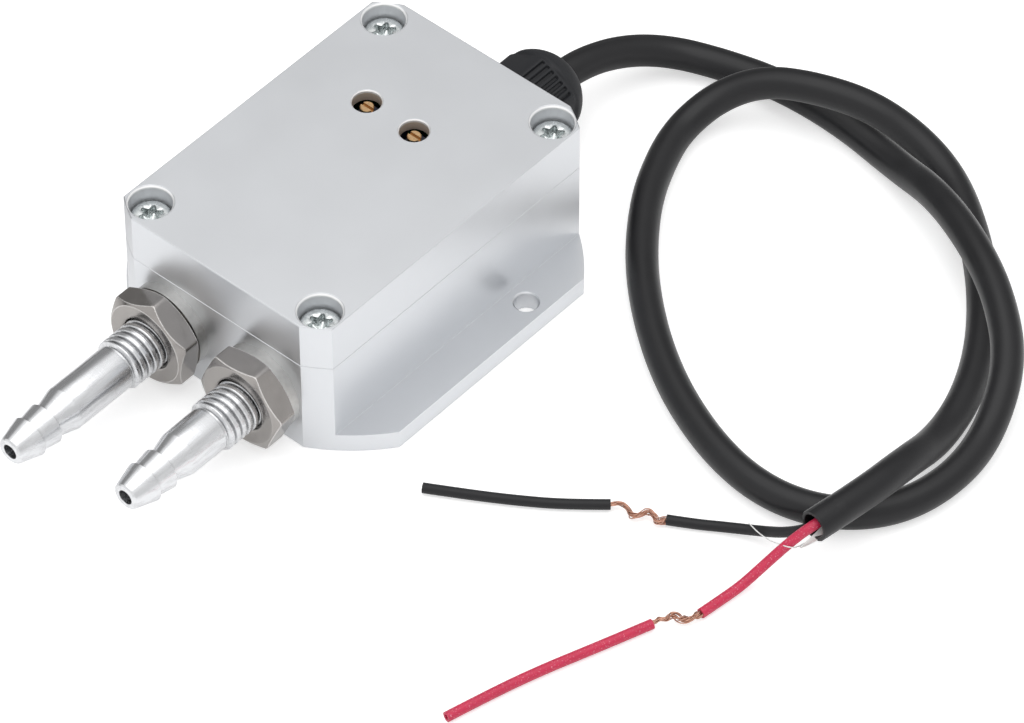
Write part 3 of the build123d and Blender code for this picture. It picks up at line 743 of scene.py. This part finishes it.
class TRANSMITTER_OT_camera(Operator):
    """Stand the camera where the photograph was taken"""

    bl_idname = "transmitter.camera"
    bl_label = "Camera"

    def execute(self, context):
        e, a, roll = np.radians((CAMERA_ELEVATION, CAMERA_AZIMUTH, CAMERA_ROLL)).tolist()
        toward = np.array([math.cos(e) * math.sin(a), -math.cos(e) * math.cos(a), math.sin(e)])
        level = np.array([math.cos(a), math.sin(a), 0.0])
        upward = np.cross(toward, level)
        right = math.cos(roll) * level + math.sin(roll) * upward
        up = math.cos(roll) * upward - math.sin(roll) * level
        data = bpy.data.cameras.new("camera")
        data.lens = CAMERA_LENS
        data.sensor_width = CAMERA_SENSOR
        data.sensor_fit = "HORIZONTAL"
        data.clip_end = 20
        camera = bpy.data.objects.new("camera", data)
        place = (CAMERA_ASIDE * right + CAMERA_UP * up + CAMERA_DISTANCE * toward) * MM
        stand(camera, right, up, toward, place)
        context.scene.camera = camera
        return {"FINISHED"}


class TRANSMITTER_OT_cable(Operator):
    """Lay the cable with its open end, film and thread"""

    bl_idname = "transmitter.cable"
    bl_label = "Cable"

    def execute(self, context):
        size = sizes()
        rubber = plain_plastic(
            "pvc_extruded_black_satin", colours().jacket, 0.36, 0.5, 0.02, spread=0.2, gleam=0.34
        )
        milky = polyester_film()
        cable = smooth_route("cable", CABLE_ROUTE, size.cable, caps=False)
        cable.visible_glossy = False
        finish_piece(cable, rubber, replaced=["cable_jacket"])
        mouth = self.mouth(size)
        finish_piece(mouth, rubber)
        film = self.film()
        thread = tube("rip_thread", self.thread_line(), RIP_THREAD_RADIUS)
        for piece in (film, thread):
            finish_piece(piece, milky)
        return {"FINISHED"}

    def mouth(self, size):
        """The jacket's open end, with its rounded lip and its bore."""
        outer, bore = size.cable / 2 / MM, size.jacket_bore / 2 / MM
        profile = [
            (outer - 0.03, 6.0), (outer - 0.03, 0.15), (outer - 0.1, -0.01), (outer - 0.25, -0.06),
            (bore + 0.15, -0.05), (bore + 0.04, 0.0), (bore, 0.15), (bore, 2.0), (bore, 4.6),
        ]
        return cut_end("jacket_mouth", CABLE_ROUTE[-1], CABLE_ROUTE[-2], profile, 64, 0.012)

    def film(self):
        """A scrap of film out of the mouth: a thin sheet along a line, curled across.

        Its middle line (1-s)^2 A + 2s(1-s) B + s^2 C runs out of the bore and down, and each
        point across it lies on an arc. The second layer is the first moved by its thickness.
        """
        s = np.linspace(0, 1, 20)[:, None, None]
        w = np.linspace(-1, 1, 9)[None, :, None]
        start = np.array([106.6, 4.0, 8.9])
        bend = np.array([106.3, -0.6, 8.3])
        stop = np.array([103.3, 0.4, 4.0])
        line = (1 - s) ** 2 * start + 2 * s * (1 - s) * bend + s ** 2 * stop
        across = np.array([0.86, 0.03, -0.51])
        lift = np.array([0.45, -0.52, 0.73])
        width = 0.85 * (1 - 0.8 * s)
        sheet = line + across * width * w + lift * 0.35 * (w ** 2 - 1)
        thick = np.array([0.03, 0.04, -0.09])
        ring = np.concatenate([sheet, (sheet + thick)[:, ::-1]], axis=1) * MM
        middle = ring.mean(axis=1)
        return surface("film_scrap", ring, start=middle[0], end=middle[-1])

    def thread_line(self):
        """The thread's line, from the mouth over the red core and over the black one."""
        bends = np.array([
            (103.5, 1.2, 4.5), (104.0, -1.0, 5.6), (104.2, -3.9, 8.2), (101.7, -3.2, 6.6),
            (98.5, -1.7, 3.8), (96.3, -0.9, 2.6), (95.0, -1.6, 3.9), (92.0, 0.1, 2.3),
        ])
        return resampled(route_points(bends), 90)


class TRANSMITTER_OT_cores(Operator):
    """Lay the two cores with their bare copper and slipped sleeves"""

    bl_idname = "transmitter.cores"
    bl_label = "Cores"

    def execute(self, context):
        size = sizes()
        black = plain_plastic(
            "pvc_extruded_black", colours().black, 0.42, 0.3, 0.02, spread=0.15, gleam=0.3
        )
        red = red_insulation()
        copper = plain_metal("copper_bare_strands", colours().copper, 0.25, 0.45, 0.6)
        plans = [
            ("black", BLACK_WIRE_ROUTE, BLACK_COPPER_ROUTE, BLACK_SLEEVE_ROUTE,
             size.black_core, black, "black_insulation", 3),
            ("red", RED_WIRE_ROUTE, RED_COPPER_ROUTE, RED_SLEEVE_ROUTE,
             size.red_core, red, "red_insulation", 8),
        ]
        for name, wire_route, copper_route, sleeve_route, wide, skin, slot, seed in plans:
            wire = smooth_route(name + "_core", wire_route, wide)
            finish_piece(wire, skin, replaced=[name + "_wire"])
            strands = self.strands(name + "_copper", copper_route, seed)
            finish_piece(strands, copper, replaced=[name + "_conductor"])
            sleeve = smooth_route(name + "_slipped_sleeve", sleeve_route, wide, caps=False)
            finish_piece(sleeve, skin, replaced=[name + "_sleeve"])
            ends = joined(name + "_sleeve_ends", [
                self.sleeve_end(sleeve_route[0], sleeve_route[1], wide, 0.55),
                self.sleeve_end(sleeve_route[-1], sleeve_route[-2], wide, 0.5),
            ])
            finish_piece(ends, skin)
            cords = ((wire, wire_route, 1, strands), (sleeve, sleeve_route, 0, ends))
            for cord, route, first, piece in cords:
                run_of(route)
        return {"FINISHED"}

    def strands(self, name, route, seed):
        """Thin tubes wound loosely round the route's line.

        Each strand's centre is the line moved by a radius that wanders along it, at an angle
        that turns with it: r(s) (cos(a + k s) side + sin(a + k s) up).
        """
        size = sizes()
        line = resampled(route_points(route), 70)
        side, up = cross_axes(directions(line))
        s = np.linspace(0, 1, len(line))[:, None]
        turn = 2 * math.pi
        rng = np.random.default_rng(seed)
        tubes = []
        for k in range(size.strands):
            angle = turn * (k * STRAND_STEP + STRAND_TURNS * s)
            angle = angle + STRAND_SWAY * np.sin(turn * (rng.uniform(1, 3) * s + rng.uniform()))
            radius = BUNDLE_RADIUS * math.sqrt((k + 0.5) / size.strands) * (1.35 - 0.75 * s)
            loose = STRAND_WANDER * np.sin(turn * (rng.uniform(1, 2.5) * s + rng.uniform()))
            radius = (radius + loose * np.sin(math.pi * s)) * MM
            centres = line + radius * (np.cos(angle) * side + np.sin(angle) * up)
            centres[:, 2] = np.maximum(centres[:, 2], size.strand / 2)
            tubes.append(tube(name + str(k), centres, size.strand / 2))
        return joined(name, tubes)

    def sleeve_end(self, tip, inner, wide, hollow):
        """The end of a sleeve round a shallow hole, whose radius is hollow times the sleeve's."""
        outer = wide / 2 / MM
        bore = outer * hollow
        profile = [
            (outer - 0.015, 1.6), (outer - 0.015, 0.06), (outer - 0.08, -0.03),
            (bore + 0.06, -0.03), (bore, 0.05), (bore, 1.28),
        ]
        return cut_end("sleeve_end", tip, inner, profile, 32)


class TRANSMITTER_OT_housing(Operator):
    """Finish the housing, the lid and the pieces inside"""

    bl_idname = "transmitter.housing"
    bl_label = "Housing"

    def execute(self, context):
        black = linear("1b1c1e")
        repaint(["base_housing", "lid"], blasted_aluminium())
        repaint(["circuit_board"], solder_mask())
        plastics = [
            (["lid_gasket", "gland_o_ring", "gland_insert"],
             "nitrile_rubber_moulded", black, 0.6, 0.3, 0.02),
            (["pressure_sensor"], "thermoplastic_moulded_black", black, 0.5, 0.2, 0.02),
            (["sensor_hose_1", "sensor_hose_2"],
             "silicone_extruded_milky", linear("d9d8d2"), 0.5, 0.4, 0.01),
            (["trimmer_body_1", "trimmer_body_2"],
             "thermoplastic_moulded_blue", linear("141f33"), 0.4, 0.2, 0.01),
            (["cable_inner", "inner_leads"],
             "pvc_extruded_inner", linear("2a2a2c"), 0.45, 0.3, 0.02),
        ]
        for nodes, *finish in plastics:
            repaint(nodes, plain_plastic(*finish))
        zinc = plain_metal("steel_zinc_plated_slotted", colours().zinc, 0.25, 0.4, 0.8)
        repaint(["board_screws"], zinc)
        steel = plain_metal("steel_stamped_satin", colours().washer, 0.3, 0.42, 0.8)
        repaint(["seal_washer_1", "seal_washer_2"], steel)
        return {"FINISHED"}


class TRANSMITTER_OT_fittings(Operator):
    """Turn the two threaded hose fittings"""

    bl_idname = "transmitter.fittings"
    bl_label = "Hose fittings"

    def execute(self, context):
        metal = turned_aluminium()
        for number, x, shank in zip("12", FITTING_XS, SHANK_LENGTHS):
            fitting = self.fitting("threaded_hose_fitting_" + number, x, shank)
            replaced = ["hose_fitting_" + number]
            finish_piece(fitting, metal, replaced=replaced)
        return {"FINISHED"}

    def fitting(self, name, x, shank):
        """A profile turned round the fitting's axis, with a helical thread cut into it.

        The thread takes depth * f(y / pitch + angle / turn) off the radius, where f is the
        fourth power of half a cosine wave, so crests are wide and roots narrow. It fades in
        at its end.
        """
        pitch = sizes().thread_pitch / MM
        shank_end = THREAD_END - shank
        rear = shank_end - NECK_LENGTH
        front = rear - REAR_BARB_LENGTH
        tip = front - FRONT_BARB_LENGTH - TIP_BREAK
        neck = THREAD_END + RELIEF_WIDTH
        corners = [
            (FITTING_BORE_RADIUS, FITTING_BACK), (THREAD_RADIUS, FITTING_BACK),
            (THREAD_RADIUS, neck), (RELIEF_RADIUS, neck - 0.35),
            (RELIEF_RADIUS, THREAD_END), (SHANK_RADIUS, THREAD_END - 0.02),
            (SHANK_RADIUS, shank_end), (NECK_RADIUS, rear),
            (REAR_BARB_RADIUS, rear - 0.02), (REAR_NOSE_RADIUS, front),
            (FRONT_BARB_RADIUS, front - 0.02), (FRONT_NOSE_RADIUS, tip + TIP_BREAK),
            (FRONT_NOSE_RADIUS - TIP_BREAK, tip), (FITTING_BORE_RADIUS, tip),
        ]
        ease = [0.1, 0.2, 0.12, 0.1, 0.08, 0.1, 0.08, 0.1, 0.07, 0.1, 0.07, 0.1, 0.1, 0.12]
        rows = eased(corners, ease)
        cut = 2 * EASE_STEPS
        stop = rows[cut, 1]
        count = int((THREAD_START - stop) / pitch * THREAD_ROWS_PER_TURN)
        cuts = np.linspace(THREAD_START, stop, count, endpoint=False)
        thread = np.stack([np.full(count, THREAD_RADIUS), cuts], axis=-1)
        rows = np.concatenate([rows[:cut], thread, rows[cut:]])
        angle = full_turn(FITTING_SIDES)[None, :]
        radius, y = rows[:, :1], rows[:, 1:]
        phase = (y / pitch + angle / (2 * math.pi)) % 1
        wave = (0.5 - 0.5 * np.cos(2 * math.pi * phase)) ** 4
        fade = smooth_step((y - stop + 0.35) / 0.5) * (y < THREAD_START + 0.01)
        in_thread = (radius > THREAD_RADIUS - 0.5) & (y > stop - 0.6)
        radius = radius - THREAD_DEPTH * wave * fade * in_thread
        return surface(name, along_y(radius, y, angle, x), loop=True, sharp=40)


class TRANSMITTER_OT_lock_nuts(Operator):
    """Make the two chamfered lock nuts"""

    bl_idname = "transmitter.lock_nuts"
    bl_label = "Lock nuts"

    def execute(self, context):
        metal = nickel_plated_brass()
        for number, x, turn, cut in zip("12", FITTING_XS, NUT_TURNS, NUT_FRONT_BREAKS):
            nut = self.nut("chamfered_lock_nut_" + number, x, turn, cut)
            finish_piece(nut, metal, replaced=["lock_nut_" + number])
        return {"FINISHED"}

    def nut(self, name, x, turn, cut):
        """A hexagon cut by a cone on each face, round a threaded hole.

        The radius is the smaller of the hexagon's and the cones', so each flat ends in an arc.
        The rows lie closer where the cones cut.
        """
        angle = full_turn(360)[None, :]
        flat = angle - math.radians(turn + 30)
        hexagon = hexagon_radius(flat, NUT_APOTHEM, NUT_CORNER_EASE)
        drop = NUT_APOTHEM / math.cos(math.pi / 6) - NUT_FACE_RADIUS
        depth = np.concatenate([
            np.linspace(0.0, 1.4, 36), np.linspace(1.6, NUT_THICKNESS - 1.2, 6),
            np.linspace(NUT_THICKNESS - 1.0, NUT_THICKNESS, 26),
        ])[:, None]
        front = NUT_FACE_RADIUS + drop * depth / cut
        back = NUT_FACE_RADIUS + drop * (NUT_THICKNESS - depth) / NUT_BACK_BREAK
        radius = np.minimum(hexagon, np.minimum(front, back))
        hole = np.array([
            (NUT_FACE_RADIUS - 0.15, NUT_THICKNESS), (NUT_HOLE_RADIUS + 0.6, NUT_THICKNESS),
            (NUT_HOLE_RADIUS, NUT_THICKNESS - 0.6), (NUT_HOLE_RADIUS, 0.7),
            (NUT_HOLE_RADIUS + 0.25, 0.22), (NUT_HOLE_RADIUS + 0.5, 0.05),
            (NUT_HOLE_RADIUS + 0.62, 0.0), (NUT_HOLE_RADIUS + 1.2, 0.0),
            (NUT_FACE_RADIUS - 0.15, 0.0),
        ])
        outer = along_y(radius, NUT_FACE_Y + depth, angle, x)
        inner = along_y(hole[:, :1], NUT_FACE_Y + hole[:, 1:], angle, x)
        return surface(name, np.concatenate([outer, inner]), loop=True, sharp=24)


class TRANSMITTER_OT_lid_screws(Operator):
    """Make the four lid screws with six lobe sockets"""

    bl_idname = "transmitter.lid_screws"
    bl_label = "Lid screws"

    def execute(self, context):
        metal = plain_metal("steel_zinc_plated", colours().zinc, 0.16, 0.3, 0.7)
        screws = joined("lid_cap_screws", [
            self.screw(right * SCREW_X, back * SCREW_Y, math.radians(turn))
            for right, back, turn in SCREW_PLACES
        ])
        finish_piece(screws, metal, replaced=["lid_screws"])
        return {"FINISHED"}

    def screw(self, x, y, turn):
        """A screw turned about Z, with a toothed rim and a six lobe socket.

        The rows are radius, height, and the shares of the rim's teeth and of the socket's
        lobes. The teeth are a clipped wave with one crest each, the lobes a wave of cos(6a).
        """
        top, under, socket = HEAD_TOP, HEAD_TOP - HEAD_HEIGHT, HEAD_TOP - SOCKET_DEPTH
        shank = SCREW_SHANK_RADIUS
        rows = np.array([
            (shank - 0.5, SHANK_TIP, 0, 0), (shank, SHANK_TIP + 0.6, 0, 0),
            (shank, under, 0, 0), (HEAD_RADIUS - 0.1, under, 0, 0),
            (HEAD_RADIUS, under + 0.1, 1, 0), (HEAD_RADIUS, top - 0.5, 1, 0),
            (HEAD_RADIUS - 0.08, top - 0.28, 1, 0), (HEAD_RADIUS - 0.24, top - 0.12, 0.5, 0),
            (HEAD_RADIUS - 0.42, top - 0.02, 0, 0), (HEAD_RADIUS - 0.6, top, 0, 0),
            (SOCKET_RADIUS + 0.75, top, 0, 0), (SOCKET_RADIUS + 0.3, top - 0.02, 0, 0.5),
            (SOCKET_RADIUS + 0.08, top - 0.12, 0, 1), (SOCKET_RADIUS, top - 0.3, 0, 1),
            (SOCKET_RADIUS, socket + 0.2, 0, 1), (SOCKET_RADIUS - 0.2, socket, 0, 0.8),
        ])
        angle = full_turn(HEAD_TEETH * 8)[None, :] + turn
        tooth = HEAD_TOOTH * np.clip(1.4 * np.cos(HEAD_TEETH * angle), -1, 1) / 2
        lobe = SOCKET_LOBE * np.cos(6 * angle)
        radius = rows[:, :1] + rows[:, 2:3] * tooth + rows[:, 3:] * lobe
        parts = [x + radius * np.cos(angle), y + radius * np.sin(angle), rows[:, 1:2] + 0 * angle]
        grid = np.stack(parts, axis=-1) * MM
        tip = np.array([x, y, SHANK_TIP]) * MM
        floor = np.array([x, y, socket - SOCKET_POINT]) * MM
        return surface("lid_screw", grid, start=tip, end=floor)


class TRANSMITTER_OT_trimmers(Operator):
    """Finish the two brass trimmer screws"""

    bl_idname = "transmitter.trimmers"
    bl_label = "Trimmer screws"

    def execute(self, context):
        brass = plain_metal("brass_turned", colours().brass, 0.22, 0.4, 0.5)
        repaint(["trimmer_screw_1", "trimmer_screw_2"], brass)
        return {"FINISHED"}


class TRANSMITTER_OT_gland(Operator):
    """Mould the grooved dome nut and finish the gland's body"""

    bl_idname = "transmitter.gland"
    bl_label = "Cable gland"

    def execute(self, context):
        nylon = plain_plastic(
            "nylon_moulded_black", colours().nylon, 0.46, 0.25, 0.03, gleam=0.28
        )
        repaint(["gland_body"], nylon)
        finish_piece(self.dome(), nylon, replaced=["gland_nut"])
        return {"FINISHED"}

    def dome(self):
        """A hexagon with grooved flats that runs into a round dome, with a hole for the cable.

        On a flat the radius is (apothem - groove) / cos(a), where groove is a row of channels
        across the flat, cut between two ends, on every second flat. From the hexagon's front
        the radius runs into the collar's, and then it is nose + drop * (1 - t^n)^(1/n) along
        the dome's length t.
        """
        sixth = math.pi / 3
        angle = full_turn(6 * 84)[None, :]
        reach = DOME_END - DOME_CURVE_START
        y = np.concatenate([
            np.linspace(DOME_START, GROOVE_START + 0.4, 11),
            np.linspace(GROOVE_START + 1.0, GROOVE_END - 1.3, 8),
            np.linspace(GROOVE_END - 1.0, DOME_CURVE_START - 0.1, 24),
            DOME_CURVE_START + reach * np.sin(np.linspace(0, math.pi / 2, 30)),
        ])[:, None]
        turned = angle - math.radians(DOME_TURN)
        flat = (turned + sixth / 2) % sixth - sixth / 2
        across = DOME_APOTHEM * np.tan(flat)
        half = GROOVE_COUNT * GROOVE_PITCH / 2
        cell = (across + half) % GROOVE_PITCH - GROOVE_PITCH / 2
        channel = smooth_step((GROOVE_WIDTH / 2 + 0.08 - np.abs(cell)) / 0.16)
        channel = channel * (np.abs(across) < half)
        ends = smooth_step((y - GROOVE_START) / 0.3) * smooth_step((GROOVE_END - y) / 0.35)
        plain = hexagon_radius(turned, DOME_APOTHEM, DOME_CORNER_EASE)
        side = np.floor((turned + sixth / 2) / sixth)
        depth = GROOVE_DEPTH * (side % 2)
        grooved = plain - depth * channel * ends / np.cos(flat)
        front = smooth_step((y - DOME_HEX_END + 0.7) / 0.7)
        body = grooved + (DOME_COLLAR_RADIUS - grooved) * front
        t = np.clip((y - DOME_CURVE_START) / reach, 0, 1)
        drop = DOME_COLLAR_RADIUS - DOME_NOSE_RADIUS
        curve = DOME_NOSE_RADIUS + drop * (1 - t ** DOME_CURVE) ** (1 / DOME_CURVE)
        back = DOME_APOTHEM + 2.5 * (y - DOME_START)
        radius = np.minimum(np.where(t > 0, curve, body), back)
        outer = along_y(radius, y, angle, 0.0)
        hole = np.array([
            (DOME_NOSE_RADIUS - 0.12, DOME_END), (DOME_HOLE_RADIUS + 0.5, DOME_END - 0.1),
            (DOME_HOLE_RADIUS + 0.1, DOME_END - 0.5), (DOME_HOLE_RADIUS, DOME_END - 0.9),
            (DOME_HOLE_RADIUS, DOME_CURVE_START + 0.1), (DOME_THREAD_RADIUS, DOME_CURVE_START),
            (DOME_THREAD_RADIUS, DOME_START),
        ])
        inner = along_y(hole[:, :1], hole[:, 1:], angle, 0.0)
        return surface("grooved_dome_nut", np.concatenate([outer, inner]), loop=True, sharp=40)


class TRANSMITTER_OT_studio(Operator):
    """Set the white floor, the sky and the softbox"""

    bl_idname = "transmitter.studio"
    bl_label = "Studio"

    def execute(self, context):
        context.scene.view_settings.view_transform = "Standard"
        self.floor(context.scene)
        self.sky(context.scene)
        data = bpy.data.lights.new("softbox", "AREA")
        data.shape = "RECTANGLE"
        data.size = data.size_y = SOFTBOX_SIDE
        data.energy = SOFTBOX_POWER
        back = np.array(SOFTBOX_PLACE) / np.linalg.norm(SOFTBOX_PLACE)
        right = np.array([1.0, 0.0, 0.0])
        softbox = bpy.data.objects.new("softbox", data)
        stand(softbox, right, np.cross(back, right), back, SOFTBOX_PLACE)
        return {"FINISHED"}

    def floor(self, scene):
        """A wide disc under the object, white to the eye but still taking its shadow.

        In metal the floor is painted darker to the left behind the object and glows less there:
        painted shade, standing in for the end of the paper where the light falls off.
        """
        angle = full_turn(96)[None, :]
        reach = np.array([0.0001, 0.3, 1.0, 3.0, 6.0])[:, None]
        parts = [reach * np.cos(angle), reach * np.sin(angle), 0 * reach * angle + FLOOR_Z]
        obj = surface("floor", np.stack(parts, axis=-1), start=np.array([0, 0, FLOOR_Z]))
        material, node, place = begin("paper_matt_white")
        path = node("LightPath").outputs
        # Painted shade: seen in metal, the floor darkens and stops glowing to the left behind the
        # object.
        behind = node("VectorMath", {0: place, 1: (-0.85, 0.52, 0)}, operation="DOT_PRODUCT")
        painted_paper_light = node(
            "MapRange", {"Value": behind, **span(0.0, 0.07, 1.0, 0.0)},
            interpolation_type="SMOOTHSTEP",
        )
        sheet = node("Mix", {0: path["Is Glossy Ray"], NUMBER_A: 1.0, NUMBER_B: painted_paper_light})
        ends = {COLOUR_A: paint("767676"), COLOUR_B: paint("e6e6e6")}
        tint = node("Mix", {"Factor": sheet, **ends}, data_type="RGBA")
        paper = node(
            "BsdfPrincipled", {"Base Color": tint, "Roughness": 0.9, "Specular IOR Level": 0.0}
        )
        level = node(
            "Math", {0: path["Is Glossy Ray"], 1: path["Is Transmission Ray"]},
            operation="MAXIMUM",
        )
        for factor in (FLOOR_IN_METAL, sheet):
            level = node("Math", {0: level, 1: factor}, operation="MULTIPLY")
        level = node(
            "Math", {0: path["Is Camera Ray"], 1: FLOOR_TO_EYE, 2: level},
            operation="MULTIPLY_ADD",
        )
        glow = node("Emission", {"Color": (1, 1, 1, 1), "Strength": level})
        obj.data.materials.append(end(material, node("AddShader", {0: paper, 1: glow})))
        scene.collection.objects.link(obj)

    def sky(self, scene):
        """White overhead, in front and low on the right, with a dim band that darkens leftwards.

        The camera sees it white everywhere.
        """
        world = bpy.data.worlds.new("studio")
        scene.world = world
        world.use_nodes = True
        world.node_tree.nodes.clear()
        node = partial(add, world.node_tree)
        axes = node("SeparateXYZ", {0: node("TexCoord").outputs["Generated"]}).outputs
        band, low, right, high, front = (
            node(
                "MapRange", {"Value": axes[axis], **span(*limits)},
                interpolation_type="SMOOTHSTEP",
            )
            for axis, *limits in (
                ("X", -0.5, 0.7, SKY_LEFT, SKY_RIGHT),
                ("Z", 0.03, 0.16, 1.0, 0.0),
                ("X", -0.5, 0.1, 0.2, 1.0),
                ("Z", 0.56, 0.76, 0.0, 1.0),
                ("Y", -0.6, -0.15, 1.0, 0.0),
            )
        )
        bright = node("Math", {0: low, 1: right}, operation="MULTIPLY")
        for part in (high, front, node("LightPath").outputs["Is Camera Ray"]):
            bright = node("Math", {0: bright, 1: part}, operation="MAXIMUM")
        level = node("Mix", {0: bright, NUMBER_A: band, NUMBER_B: 1.0})
        back = node("Background", {"Color": (1, 1, 1, 1), "Strength": level})
        node("OutputWorld", {"Surface": back})


class TRANSMITTER_PT_panel(Panel):
    """The transmitter's builders and properties"""

    bl_idname = "TRANSMITTER_PT_panel"
    bl_label = "Pressure Transmitter"
    bl_space_type = "VIEW_3D"
    bl_region_type = "UI"
    bl_category = "Transmitter"

    def draw(self, context):
        column = self.layout.column()
        for operator in OPERATORS:
            column.operator(operator.bl_idname)
        for group in (context.scene.transmitter_sizes, context.scene.transmitter_colours):
            for name in group.__annotations__:
                column.prop(group, name)


OPERATORS = (
    TRANSMITTER_OT_camera,
    TRANSMITTER_OT_cable,
    TRANSMITTER_OT_cores,
    TRANSMITTER_OT_housing,
    TRANSMITTER_OT_fittings,
    TRANSMITTER_OT_lock_nuts,
    TRANSMITTER_OT_lid_screws,
    TRANSMITTER_OT_trimmers,
    TRANSMITTER_OT_gland,
    TRANSMITTER_OT_studio,
)
CLASSES = (TransmitterSizes, TransmitterColours, *OPERATORS, TRANSMITTER_PT_panel)


def register():
    """Registers the classes and puts the properties on the scene."""
    for cls in CLASSES:
        bpy.utils.register_class(cls)
    bpy.types.Scene.transmitter_sizes = PointerProperty(type=TransmitterSizes)
    bpy.types.Scene.transmitter_colours = PointerProperty(type=TransmitterColours)


def unregister():
    """Takes the properties and the classes away again."""
    del bpy.types.Scene.transmitter_colours
    del bpy.types.Scene.transmitter_sizes
    for cls in reversed(CLASSES):
        bpy.utils.unregister_class(cls)


def main():
    """Builds everything in order."""
    register()
    bpy.ops.transmitter.camera()
    bpy.ops.transmitter.cable()
    bpy.ops.transmitter.cores()
    bpy.ops.transmitter.housing()
    bpy.ops.transmitter.fittings()
    bpy.ops.transmitter.lock_nuts()
    bpy.ops.transmitter.lid_screws()
    bpy.ops.transmitter.trimmers()
    bpy.ops.transmitter.gland()
    bpy.ops.transmitter.studio()


if __name__ == "__main__":
    main()
